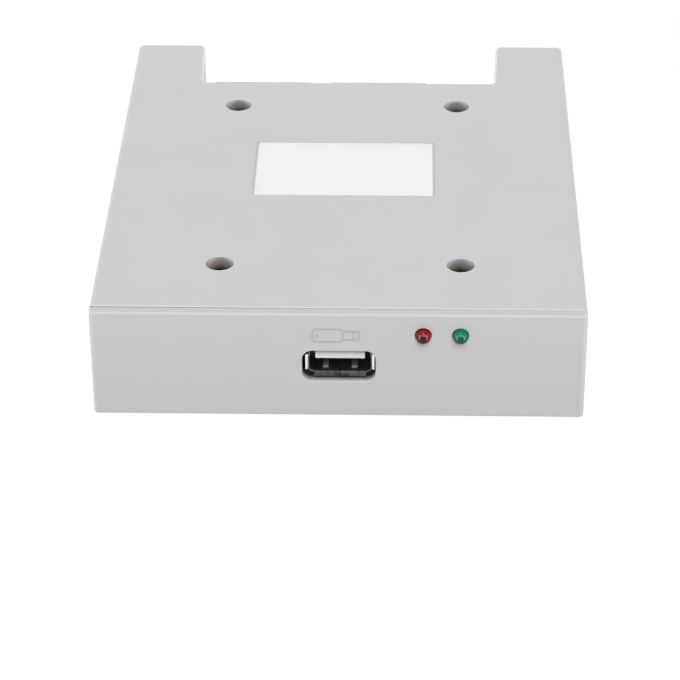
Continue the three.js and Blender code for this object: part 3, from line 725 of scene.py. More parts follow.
@dataclass(frozen=True)
class PanelPlastic(PaintedShadePlastic):
    """The front panel's plastic, with painted shade that makes it a little darker towards the floor."""

    roughness: float = 0.52
    middle_reach: Pair = (0.0, 22.0)
    deep_reach: Pair = (18.0, 28.0)


@dataclass(frozen=True)
class PlatedMetal(Finish):
    """Plated sheet or wire, with drawing lines, fine scratches and dull patches."""

    colour: Colour
    roughness: float = 0.28
    stretch: Triple = (1, 8, 1)
    tarnish: float = 0.25
    line: float = 0.5
    line_depth: float = 0.006
    line_sheen: float = 0.12
    patch: float = 1.6
    patch_edge: Pair = (0.42, 0.7)
    patch_sheen: float = 0.14
    sheen: float = 0.08

    def shade(self, shader: Shader) -> Material:
        """Builds the nodes of plated metal.

        Args:
            shader: The material's empty nodes.

        Returns:
            The material.
        """
        lines = shader.noise(self.line, 4, self.stretch)
        patches = shader.noise(self.patch, 4).smooth(*self.patch_edge)
        return shader.surface(
            Base_Color=shader.mixed(patches, self.colour, dimmed(self.colour, self.tarnish)),
            Metallic=1.0,
            Roughness=lines * self.line_sheen + patches * self.patch_sheen + (self.roughness - self.sheen),
            Normal=shader.bump(lines, self.line_depth),
        )


@dataclass(frozen=True)
class LabelPaper(Finish):
    """Coated label stock with a faint fibre."""

    colour: Colour
    fibre: float = 0.3
    fibre_edge: Pair = (0.35, 0.65)
    fibre_share: float = 0.15
    stretch: Triple = (1, 2.4, 1)
    dimness: float = 0.04
    wave: float = 9.0
    relief: float = 0.03
    relief_share: float = 0.6
    gloss: float = 0.42

    def shade(self, shader: Shader) -> Material:
        """Builds the nodes of coated paper.

        Args:
            shader: The material's empty nodes.

        Returns:
            The material.
        """
        fibres = shader.noise(self.fibre, 5, self.stretch)
        waves = shader.noise(self.wave, 2)
        shade = dimmed(self.colour, self.dimness)
        return shader.surface(
            Base_Color=shader.mixed(fibres.smooth(*self.fibre_edge), shade, self.colour),
            Roughness=fibres * self.fibre_share + self.gloss,
            Normal=shader.bump(fibres * self.fibre_share + waves, self.relief, self.relief_share),
        )


@dataclass(frozen=True)
class LampEpoxy(Finish):
    """Tinted cast epoxy over a reflector cup, whose rim shows as a broken pale ring, with painted light on
    its upper part and a painted glint.
    """

    bright: Colour
    deep: Colour
    pale: Colour
    axis_x: float
    axis_z: float
    lift: float = 0.32
    shade_reach: Pair = (-0.9, 0.5)
    swirl: float = 0.5
    sway: float = 0.12
    cup: float = 0.62
    cup_blur: Pair = (-0.1, 0.12)
    ring: float = 0.8
    ring_width: float = 0.2
    ring_blur: float = 0.14
    ring_share: float = 0.5
    ring_sides: Pair = (0.3, 0.5)
    ring_foot: Pair = (-0.45, -0.15)
    ring_head: Pair = (0.5, 0.8)
    painted_glint: float = 0.15
    painted_glint_lift: float = 0.95
    painted_glint_blur: float = 0.1
    painted_glint_share: float = 0.4
    gloss: float = 0.07
    swirl_sheen: float = 0.06
    clearness: float = 0.25

    def shade(self, shader: Shader) -> Material:
        """Builds the nodes of a lamp's lens.

        Args:
            shader: The material's empty nodes.

        Returns:
            The material.
        """
        across = shader.along(Axis.X) - self.axis_x
        up = shader.along(Axis.Z) - (self.axis_z + self.lift)
        swirl = shader.noise(self.swirl, 3)
        out = (across * across + up * up).root() + (swirl - 0.5) * self.sway
        # Painted light: the lens is painted lighter on its upper part and deeper below.
        body = shader.mixed(up.smooth(*self.shade_reach), self.deep, self.bright)
        cup = shader.mixed((self.cup - out).smooth(*self.cup_blur), body, self.deep)
        band = (self.ring_width - out.distance_from(self.ring)).smooth(0.0, self.ring_blur)
        beside = (1 - up.smooth(*self.ring_head)) * up.smooth(*self.ring_foot)
        sides = across.distance_from(0.0).smooth(*self.ring_sides) * beside
        # Painted highlight: a small pale glint over the cup.
        high = up - self.painted_glint_lift
        painted_glint = (self.painted_glint - (across * across + high * high).root()).smooth(0.0, self.painted_glint_blur)
        marked = shader.mixed(band * sides * self.ring_share + painted_glint * self.painted_glint_share, cup, self.pale)
        return shader.surface(
            Base_Color=marked,
            Roughness=swirl * self.swirl_sheen + self.gloss,
            Transmission_Weight=self.clearness,
            Specular_IOR_Level=0.12,
            IOR=1.5,
        )


@dataclass(frozen=True)
class SolderMask(Finish):
    """A board's lacquered face: copper tracks show as lighter lines under the mask."""

    colour: Colour
    track_pitch: float = 1.9
    track_width: float = 0.5
    track_lift: float = 0.7
    break_size: float = 9.0
    break_share: float = 0.47
    relief: float = 0.03
    weave: float = 0.5
    weave_sheen: float = 0.1
    gloss: float = 0.28

    def shade(self, shader: Shader) -> Material:
        """Builds the nodes of a lacquered board.

        Args:
            shader: The material's empty nodes.

        Returns:
            The material.
        """
        bricks = shader.node(
            "ShaderNodeTexBrick",
            {
                "Vector": shader.place,
                "Scale": 1 / (self.track_pitch * MM),
                "Mortar Size": self.track_width / self.track_pitch / 2,
                "Mortar Smooth": 0.2,
                "Brick Width": 7.5,
                "Row Height": 1.0,
            },
            offset=0.37,
            offset_frequency=3,
        )
        track = Value(shader, bricks.outputs["Fac"])
        broken = shader.noise(self.break_size, 1).above(self.break_share)
        lighter = (*[min(1.0, part * (1 + self.track_lift) + 0.01) for part in self.colour[:3]], 1.0)
        weave = shader.noise(self.weave, 2)
        return shader.surface(
            Base_Color=shader.mixed(track * broken, self.colour, lighter),
            Roughness=weave * self.weave_sheen + self.gloss,
            Normal=shader.bump(track * broken + weave * self.weave_sheen, self.relief),
        )


CASE = MouldedPlastic("case_plastic", srgb(207, 207, 207), roughness=0.52, mottle=0.015)
# Painted shade in the wells' bores, darker with depth, with painted light on the bores' sides.
WELL_SHADE = PaintedShadePlastic("well_painted_shade", srgb(207, 207, 207), roughness=0.6, specular=0.2, painted_side_light=0.24)
# Painted shade: the cover's faces in the gap at the panel are painted dark.
SEAM_SHADE = MouldedPlastic("seam_painted_shade", srgb(104, 103, 102), roughness=0.7, specular=0.2)
# Painted light: the notch's inner walls are painted lighter than the case.
NOTCH_LIGHT = MouldedPlastic("notch_painted_light", srgb(250, 250, 250), roughness=0.52, mottle=0.015)
# Painted light on the rounded edges of the notch.
NOTCH_EDGE_LIGHT = MouldedPlastic("notch_edge_painted_light", srgb(222, 222, 222), roughness=0.52, mottle=0.015)
# Painted highlights on the wells' near rims and on the notch's edges.
RIM_HIGHLIGHT = MouldedPlastic("rim_painted_highlight", srgb(248, 248, 248), roughness=0.5, mottle=0.01)
# Painted highlight on the cover's rounded edge at the seam.
SEAM_EDGE_HIGHLIGHT = MouldedPlastic("seam_edge_painted_highlight", srgb(215, 214, 213), roughness=0.5, mottle=0.01)
# Painted light on the cover's left top edge.
SIDE_EDGE_LIGHT = MouldedPlastic("side_edge_painted_light", srgb(213, 212, 211), roughness=0.52, mottle=0.015)
# The panel's own grey, with painted shade a little darker towards the floor.
PANEL = PanelPlastic(
    "panel_plastic", srgb(203, 203, 203), middle=srgb(197, 197, 197), deep=srgb(194, 194, 194)
)
# Painted light: the panel's upright rounded edges are painted lighter.
PANEL_EDGE_LIGHT = PanelPlastic(
    "panel_edge_painted_light", srgb(212, 210, 209), middle=srgb(206, 204, 203), deep=srgb(202, 200, 199)
)
# Painted shade in the socket's opening, darker further in.
CUT_SHADE = PaintedShadePlastic(
    "cut_painted_shade",
    srgb(202, 202, 202),
    axis=Axis.Y,
    level=-62.0,
    sense=1.0,
    middle=srgb(120, 114, 112),
    middle_reach=(0.3, 1.6),
    deep=srgb(24, 22, 21),
    deep_reach=(1.5, 2.4),
)
# Painted shade: the bottoms of the engraved lines are painted darker.
MARK_SHADE = MouldedPlastic("mark_painted_shade", srgb(187, 187, 187), roughness=0.55)
# White plastic with a painted shadow along the top of the tongue's front.
TONGUE_SHADOW = PaintedShadePlastic(
    "tongue_painted_shadow",
    srgb(172, 172, 174),
    roughness=0.3,
    specular=1.0,
    level=14.0,
    middle=srgb(252, 252, 252),
    middle_reach=(0.1, 1.1),
    deep=srgb(254, 254, 253),
    deep_reach=(0.9, 1.7),
)
WHITE = MouldedPlastic("white_plastic", srgb(236, 236, 234), roughness=0.4, cloud=6)
BLACK = MouldedPlastic("black_plastic", srgb(30, 30, 31), roughness=0.5, cloud=6, mottle=0.15)
CREAM = MouldedPlastic("cream_plastic", srgb(228, 222, 204), roughness=0.48, cloud=6)
BLUE = MouldedPlastic("blue_plastic", srgb(40, 74, 150), roughness=0.42, cloud=3, mottle=0.1)
RESIN = MouldedPlastic("chip_resin", srgb(38, 39, 42), roughness=0.62, grain=0.12, cloud=4, mottle=0.2)
NETWORK = MouldedPlastic("network_resin", srgb(66, 46, 38), roughness=0.4, cloud=4, mottle=0.2)
CERAMIC = MouldedPlastic("ceramic", srgb(180, 146, 104), roughness=0.6, cloud=1, mottle=0.12)
EDGE = MouldedPlastic("board_edge", srgb(74, 70, 48), roughness=0.7, grain=0.2, cloud=2, mottle=0.25)
PAPER = LabelPaper("label_paper", srgb(250, 250, 252))
SHELL = PlatedMetal("shell_steel", srgb(244, 242, 239), roughness=0.26, tarnish=0.1)
# Painted shade: the shell's inside walls are painted darker than its plated outside.
INSIDE_SHADE = PlatedMetal("inside_painted_shade_steel", srgb(130, 124, 119), roughness=0.36, tarnish=0.5)
# Painted shade: the springs inside the shell are painted darker than its plated outside.
SPRING_SHADE = PlatedMetal("spring_painted_shade_steel", srgb(152, 147, 139), roughness=0.62, tarnish=0.1)
# Painted shade on the lower lip's inner ledge, lighter than on the rest of the lip.
LEDGE_SHADE = PlatedMetal("ledge_painted_shade_steel", srgb(138, 133, 128), roughness=0.6, tarnish=0.5)
# Painted shade: the rest of the lower lip is painted dark, with dull patches.
LOWER_LIP_SHADE = PlatedMetal("lower_lip_painted_shade_steel", srgb(60, 58, 56), roughness=0.55, tarnish=0.5)
SCREW = PlatedMetal("screw_steel", srgb(120, 118, 114), roughness=0.36)
GOLD = PlatedMetal("contact_gold", srgb(214, 176, 92), roughness=0.26)
TIN = PlatedMetal("tinned_wire", srgb(205, 206, 208), roughness=0.3)
CAN = PlatedMetal("can_metal", srgb(200, 202, 205), roughness=0.34)
MASK = SolderMask("board_laminate", srgb(14, 58, 34))


def make_piece(
    name: str,
    solid: Solid,
    finishes: Sequence[Finish],
    replaces: Sequence[str] = (),
    body: str = DRIVE,
) -> bpy.types.Object:
    """Turns a mesh into a piece of the object.

    Args:
        name: The piece's name.
        solid: Its mesh.
        finishes: The finishes of its material indices.
        replaces: The CAD nodes that it stands for.
        body: The CAD body that it rides on.

    Returns:
        The piece.
    """
    solid.changed(bmesh.ops.transform, matrix=Matrix.Scale(MM, 4))
    mesh = bpy.data.meshes.new(name)
    solid.bm.to_mesh(mesh)
    solid.bm.free()
    mesh.shade_smooth()
    mesh.set_sharp_from_angle(angle=SHARP_ANGLE)
    for finish in finishes:
        mesh.materials.append(finish.material())
    piece = placed(name, mesh)
    weighted = piece.modifiers.new("even_shading", "WEIGHTED_NORMAL")
    weighted.keep_sharp = True
    weighted.weight = 90
    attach(piece, body)
    if replaces:
        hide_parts(*replaces)
    LOG.info("%s: %d faces on %s", name, len(mesh.polygons), body)
    return piece


@dataclass
class Case:
    """The two moulded covers, with their wells, ribs, posts and lap joint."""

    wall: float = 2.0
    roof: float = 2.0
    floor: float = 2.0
    corner: float = 1.35
    notch_corner: float = 1.0
    top_edge: float = 0.7
    seam_edge: float = 0.55
    bottom_edge: float = 0.9
    notch_half: float = 34.1
    ear_flare: float = 0.95
    notch_depth: float = 19.65
    seam_left: float = 0.18
    seam_right: float = 0.04
    lap_clearance: float = 0.15
    split: float = 10.24
    split_seam: float = 0.2
    lap: float = 1.5
    rib: float = 1.2
    rib_height: float = 2.0
    rest_inset: float = 4.8
    well_bore: float = 5.8
    well_wall: float = 1.3
    well_rim: float = 0.3
    well_floor: float = 2.0
    screw_hole: float = 3.3
    post: float = 7.0
    window_half: float = 33.4
    window_top: float = 18.44
    pocket_side_gap: float = 0.45
    pocket_front_gap: float = 0.5
    pocket_back_gap: float = 0.1
    pocket_depth: float = 0.3
    pocket_corner: float = 0.4
    side_hole: float = 3.0
    side_hole_height: float = 5.0
    side_hole_places: Pair = (31.0, 91.0)
    boss: float = 7.0
    boss_depth: float = 4.0
    bore_rim: float = 0.25
    label_corner: float = 0.3
    label_edge: float = 0.03
    # The tests below pick where the top cover gets painted shade, painted light and painted highlights.
    towards_panel: float = 0.85
    square_on: float = 0.95
    crest_back: Pair = (0.1, 0.5)
    crest_up: float = 0.8
    steep: float = 0.7
    sloping: float = 0.2
    looking_up: float = 0.1
    side_tilt: Pair = (0.15, 0.995)
    seam_tilt: float = 0.96
    rim_behind: float = 1.2

    def __post_init__(self) -> None:
        """Reads the covers' extent and the wells' places from the frame."""
        top = Box.of("top_cover")
        self.half = top.high.x
        self.back = top.high.y
        self.top = top.high.z
        self.front = Box.of("front_panel").low.y
        self.plate_back = self.front + Panel.thickness
        self.notch = self.back - self.notch_depth
        self.board = Box.of("circuit_board")
        self.wells = [Box.of(f"case_screw_{place}").centre for place in SCREW_PLACES]
        self.well_ys = (self.wells[0].y, self.wells[2].y)
        self.well_x = self.wells[1].x

    def plan(self, inset: float, front_left: float, front_right: float) -> list[Pair]:
        """Lists the corners of the case's plan, with the notch between its ears.

        Args:
            inset: How far the plan is drawn in.
            front_left: Where it starts at the left.
            front_right: Where it starts at the right.

        Returns:
            The corners.
        """
        side = self.half - inset
        back = self.back - inset
        ear = self.notch_half + inset
        notch = self.notch - inset
        return [
            (-side, front_left),
            (side, front_right),
            (side, back),
            (ear + self.ear_flare, back),
            (ear, notch),
            (-ear, notch),
            (-ear - self.ear_flare, back),
            (-side, back),
        ]

    def inner_plan(self, inset: float) -> list[Pair]:
        """Lists the corners of a plan that runs out through the open front."""
        start = self.plate_back - OVERRUN
        return self.plan(inset, start, start)

    def ribs(self, low: float, high: float, reach: float) -> list[Solid]:
        """Makes the ribs through and between the wells.

        Args:
            low: Their lower edge.
            high: Their upper edge.
            reach: How far the crossing ones run to each side.

        Returns:
            Two crossing ribs and two lengthwise ones.
        """
        half = self.rib / 2
        crossing = [Solid.block((-reach, y - half, low), (reach, y + half, high)) for y in self.well_ys]
        y0, y1 = self.well_ys
        lengthwise = [
            Solid.block((side * self.well_x - half, y0, low), (side * self.well_x + half, y1, high))
            for side in (-1, 1)
        ]
        return crossing + lengthwise

    def well_hole(self, well: Vector) -> Solid:
        """Makes the cutter of a well: its bore, its rounded rim and the screw's hole.

        Args:
            well: The well's middle.

        Returns:
            The cutter.
        """
        radius = self.well_bore / 2
        seat = self.board.high.z + BOARD_GAP
        rim = self.well_rim
        rounding = [(radius + rim * out, self.top - rim * down) for out, down in quarter_round(5)]
        profile = [
            (0, seat - OVERRUN),
            (self.screw_hole / 2, seat - OVERRUN),
            (self.screw_hole / 2, seat + self.well_floor),
            (radius, seat + self.well_floor),
            *rounding,
            (radius + rim, self.top + OVERRUN),
            (0, self.top + OVERRUN),
        ]
        return Solid.spun(profile, (well.x, well.y, 0), 64)

    def label_pocket(self) -> Solid:
        """Makes the cutter of the label's pocket.

        Returns:
            The cutter.
        """
        box = Box.of("label")
        beside = self.pocket_side_gap
        front = box.low.y - self.pocket_front_gap
        back = box.high.y + self.pocket_back_gap
        corners = rectangle(box.low.x - beside, box.high.x + beside, front, back)
        cutter = Solid.slab(corners, self.top - self.pocket_depth, self.top + OVERRUN)
        return cutter.corners(Axis.Z, self.pocket_corner, 4)

    def top_cover(self) -> None:
        """Makes the top cover."""
        low = self.split + self.split_seam
        front = self.plate_back
        outside = self.plan(0, front + self.seam_left, front + self.seam_right)
        cover = Solid.slab(outside, low, self.top)
        cover.bevel(lambda a, b: upright(a, b) and near(a.y, self.back), self.corner, 8)
        cover.bevel(lambda a, b: upright(a, b) and near(a.y, self.notch), self.notch_corner, 6)
        on_top = at_level(Axis.Z, self.top)
        cover.bevel(lambda a, b: on_top(a, b) and max(a.y, b.y) > front + OVERRUN, self.top_edge, 6)
        cover.minus(self.seam_rounding())
        lip = Solid.slab(
            self.plan(self.wall / 2 + self.lap_clearance, front + self.seam_left, front + self.seam_left),
            self.split - self.lap,
            low + OVERRUN,
        )
        hollow = Solid.slab(self.inner_plan(self.wall), 0, self.top - self.roof)
        cover.plus(lip).minus(hollow)
        tube_radius = self.well_bore / 2 + self.well_wall
        tube_low = self.board.high.z + BOARD_GAP
        tube_length = self.top - self.roof / 2 - tube_low
        tubes = [cylinder(tube_radius, (w.x, w.y, tube_low), tube_length, 48) for w in self.wells]
        rib_low = self.top - self.roof - self.rib_height
        cover.plus(*self.ribs(rib_low, self.top - self.roof / 2, self.half - self.wall / 2), *tubes)
        window = Solid.block(
            (-self.window_half, self.notch - self.wall - OVERRUN, 0),
            (self.window_half, self.notch + OVERRUN, self.window_top),
        )
        cover.minus(*[self.well_hole(well) for well in self.wells], window, self.label_pocket())
        # Besides the case plastic, these finishes are painted shade, painted light and painted highlights.
        finishes = [CASE, WELL_SHADE, SEAM_SHADE, NOTCH_LIGHT, RIM_HIGHLIGHT, NOTCH_EDGE_LIGHT, SEAM_EDGE_HIGHLIGHT, SIDE_EDGE_LIGHT]
        cover.dressed(self.top_finish, finishes)
        make_piece("case_top", cover, finishes, ["top_cover"])

    def top_finish(self, face: Face) -> Finish:
        """Picks a face's finish from where it lies and which way it looks: the case plastic, painted shade,
        painted light or painted highlights.

        Args:
            face: A face of the top cover.

        Returns:
            The finish.
        """
        centre = face.calc_center_median()
        along, up = abs(face.normal.x), face.normal.z
        well = min(self.wells, key=lambda place: (centre.xy - place.xy).length)
        across = (centre.xy - well.xy).length
        bore = self.well_bore / 2
        in_bore = across < bore + HAIR and centre.z < self.top - self.well_rim + HAIR
        on_rim = across < bore + self.well_rim and centre.z < self.top and centre.y < well.y - self.rim_behind
        facing_panel = face.normal.y < -self.towards_panel and centre.y < self.plate_back + OVERRUN
        between_ears = centre.y > self.notch and abs(centre.x) < self.half - self.wall
        in_notch = between_ears and along > self.square_on
        crest = self.crest_back[0] < face.normal.y < self.crest_back[1] and up > self.crest_up
        at_back = crest and self.notch - self.top_edge < centre.y < self.notch
        steep = between_ears and along > self.steep and up > self.looking_up
        at_notch = between_ears and along > self.sloping and up > self.looking_up
        rounded = self.side_tilt[0] < up < self.side_tilt[1]
        seam_back = self.plate_back + self.seam_left + self.seam_edge
        on_seam = rounded and up < self.seam_tilt and centre.y < seam_back
        on_side = rounded and centre.x < self.top_edge - self.half
        # Painted shade and painted light, picked by where a face lies and which way it looks.
        choices = (
            (in_bore, WELL_SHADE),
            (facing_panel, SEAM_SHADE),
            (in_notch, NOTCH_LIGHT),
            (on_rim or steep or at_back, RIM_HIGHLIGHT),
            (at_notch, NOTCH_EDGE_LIGHT),
            (on_seam, SEAM_EDGE_HIGHLIGHT),
            (on_side, SIDE_EDGE_LIGHT),
        )
        return next((finish for met, finish in choices if met), CASE)

    def seam_rounding(self) -> Solid:
        """Makes the cutter that rounds the cover's top edge along the seam.

        Returns:
            The cutter.
        """
        radius = self.seam_edge
        arc = [(radius * out, -radius * down) for out, down in quarter_round(6)]
        outline = [(-OVERRUN, -radius), *arc, (radius, OVERRUN), (-OVERRUN, OVERRUN)]
        reach = self.half + OVERRUN
        cutter = Solid.slab(outline, -reach, reach, Axis.X)
        cutter.turned(math.atan2(self.seam_right - self.seam_left, 2 * self.half), Axis.Z)
        return cutter.moved((0, self.plate_back + (self.seam_left + self.seam_right) / 2, self.top))

    def bottom_cover(self) -> None:
        """Makes the bottom cover."""
        front = self.plate_back + self.seam_left
        outside = rectangle(-self.half, self.half, front, self.back)
        tray = Solid.slab(outside, 0, self.split)
        tray.bevel(lambda a, b: upright(a, b) and near(a.y, self.back), self.corner, 8)
        tray.bevel(at_level(Axis.Z, 0), self.bottom_edge, 6)
        over = self.split + OVERRUN
        hollow = Solid.slab(self.inner_plan(self.wall), self.floor, over)
        rebate = Solid.slab(self.inner_plan(self.wall / 2), self.split - self.lap - self.lap_clearance, over)
        inside = self.notch - self.wall - OVERRUN
        ear = self.notch_half
        wide = ear + self.ear_flare * (1 + OVERRUN / self.notch_depth)
        outside_back = self.back + OVERRUN
        half_channel = [(ear, inside), (ear, self.notch), (wide, outside_back)]
        mirrored = [(-x, y) for x, y in reversed(half_channel)]
        channel = Solid.slab(half_channel + mirrored, self.floor, over)
        tray.minus(hollow, rebate, channel)
        post_top = self.board.low.z - BOARD_GAP
        rise = post_top - self.floor / 2
        posts = [cylinder(self.post / 2, (w.x, w.y, self.floor / 2), rise, 40) for w in self.wells]
        ribs = self.ribs(self.floor / 2, self.floor + self.rib_height, self.well_x)
        rest_y = self.board.high.y - self.rest_inset
        rest = Solid.block(
            (-self.window_half + self.rib, rest_y - self.rib / 2, self.floor / 2),
            (self.window_half - self.rib, rest_y + self.rib / 2, post_top),
        )
        places = [(side, self.front + y) for side in (-1, 1) for y in self.side_hole_places]
        fixings = [self.fixing(side, y) for side, y in places]
        tray.plus(*posts, *ribs, rest, *[block for block, _ in fixings])
        low = Box.of("case_screw_front_left").low.z
        start, depth = low - self.lap_clearance, post_top - low + OVERRUN
        bores = [cylinder(self.screw_hole / 2, (w.x, w.y, start), depth, 32) for w in self.wells]
        tray.minus(*bores, *[bore for _, bore in fixings])
        make_piece("case_bottom", tray, [CASE], ["bottom_cover"])

    def fixing(self, side: int, y: float) -> tuple[Solid, Solid]:
        """Makes the block behind a fixing hole and the hole's cutter, with its countersunk rim.

        Args:
            side: Minus one at the left, one at the right.
            y: The hole's place along the wall.

        Returns:
            The block and the cutter.
        """
        half = self.boss / 2
        low, high = sorted(
            side * (self.half - self.wall - reach) for reach in (-self.wall / 2, self.boss_depth)
        )
        block = Solid.block((low, y - half, self.floor / 2), (high, y + half, self.side_hole_height + half))
        depth = self.wall + self.boss_depth - self.rib
        radius = self.side_hole / 2
        rim = self.bore_rim
        profile = [
            (0, -OVERRUN),
            (radius + rim, -OVERRUN),
            (radius + rim, 0),
            (radius, rim),
            (radius, depth),
            (0, depth + radius / 2),
        ]
        bore = Solid.spun(profile, (0, 0, 0), 40).turned(-side * math.pi / 2, Axis.Y)
        return block, bore.moved((side * self.half, y, self.side_hole_height))

    def label(self) -> None:
        """Makes the label."""
        box = Box.of("label")
        sticker = Solid.block(box.low, box.high).corners(Axis.Z, self.label_corner, 4)
        sticker.bevel(at_level(Axis.Z, box.high.z, 0.001), self.label_edge, 2)
        make_piece("case_label", sticker, [PAPER], ["label"])

    def build(self) -> None:
        """Makes the covers and the label."""
        self.top_cover()
        self.bottom_cover()
        self.label()


@dataclass
class CaseScrew:
    """A pan head screw with a cross recess, a thread and a point."""

    head: float = 5.1
    head_height: float = 2.0
    shank: float = 3.0
    length: float = 7.5
    point: float = 1.2
    pitch: float = 0.9
    thread: float = 0.35
    thread_crest: float = 0.08
    thread_root: float = 0.45
    tip_share: float = 0.3
    head_edge: float = 0.12
    rim_share: float = 0.45
    crown_share: float = 0.42
    recess: float = 2.6
    recess_width: float = 0.6
    recess_depth: float = 1.1
    first_turn: float = 0.5
    next_turn: float = 0.6

    def profile(self) -> list[Pair]:
        """Lists the screw's profile from its point to the top of its head.

        Returns:
            Pairs of radius and height over the head's underside.
        """
        radius = self.shank / 2
        line = [(0.0, -self.length), (radius * self.tip_share, -self.length)]
        root = radius - self.thread
        z = self.point - self.length
        while z + self.pitch < 0:
            line += [(radius, z), (radius, z + self.thread_crest), (root, z + self.pitch * self.thread_root)]
            z += self.pitch
        head = self.head / 2
        crown = self.head_height
        rim = crown * self.rim_share
        line += [(root, 0.0), (head - self.head_edge, 0.0), (head, self.head_edge), (head, rim)]
        line += [
            (head - head * self.crown_share * inward, crown - (crown - rim) * down)
            for inward, down in quarter_round(6)[1:]
        ]
        return [*line, (0.0, crown)]

    def build(self) -> None:
        """Makes the four case screws."""
        for index, place in enumerate(SCREW_PLACES):
            node = f"case_screw_{place}"
            box = Box.of(node)
            seat = Vector((box.centre.x, box.centre.y, box.high.z - self.head_height))
            screw = Solid.spun(self.profile(), seat, 40)
            half = self.recess / 2
            width = self.recess_width / 2
            top = box.high.z
            low = top - self.recess_depth
            arms = []
            for turn in (0, math.pi / 2):
                arm = Solid.block((-half, -width, low), (half, width, top + OVERRUN))
                arm.moved((seat.x, seat.y, 0))
                angle = turn + self.first_turn + index * self.next_turn
                arms.append(arm.turned(angle, Axis.Z, (seat.x, seat.y, 0)))
            screw.minus(*arms)
            make_piece(f"screw_{place}", screw, [SCREW], [node])


@dataclass
class StickMark:
    """The mark over the socket: the engraved outline of a memory stick.

    Its body and plug hold their left, right, half height and corner radius, a window holds its two sides and
    half height, and the dot its place and radius.
    """

    centre: Pair = (-0.35, 19.45)
    reach: Pair = (6.0, 2.0)
    depth: float = 0.14
    stroke: float = 0.46
    body: tuple[float, ...] = (-5.1, 1.5, 1.75, 0.9)
    plug: tuple[float, ...] = (1.04, 4.9, 1.25, 0.15)
    window: Triple = (3.1, 3.9, 0.27)
    window_levels: Pair = (-0.5, 0.5)
    dot: Pair = (-3.9, 0.42)

    def cutters(self, front: float) -> list[Solid]:
        """Makes the mark's cutters.

        Args:
            front: The Y of the face that it is cut into.

        Returns:
            The body's line, the plug's line, the plug's two windows and the lamp's dot.
        """
        x, z = self.centre
        start, end = ends = (front - OVERRUN, front + self.depth)
        lines = [
            ring((x + left, x + right, z - half, z + half), self.stroke, ends, corner)
            for left, right, half, corner in (self.body, self.plug)
        ]
        left, right, half = self.window
        windows = [
            Solid.block((x + left, start, z + level - half), (x + right, end, z + level + half))
            for level in self.window_levels
        ]
        aside, radius = self.dot
        return [*lines, *windows, cylinder(radius, (x + aside, start, z), end - start, 20, Axis.Y)]

    def holds(self, centre: Vector, depth: float) -> bool:
        """Tells whether a face at a depth behind the panel's front is the bottom of a line."""
        beside, above = abs(centre.x - self.centre[0]), abs(centre.z - self.centre[1])
        return beside < self.reach[0] and above < self.reach[1] and near(depth, self.depth, HAIR)


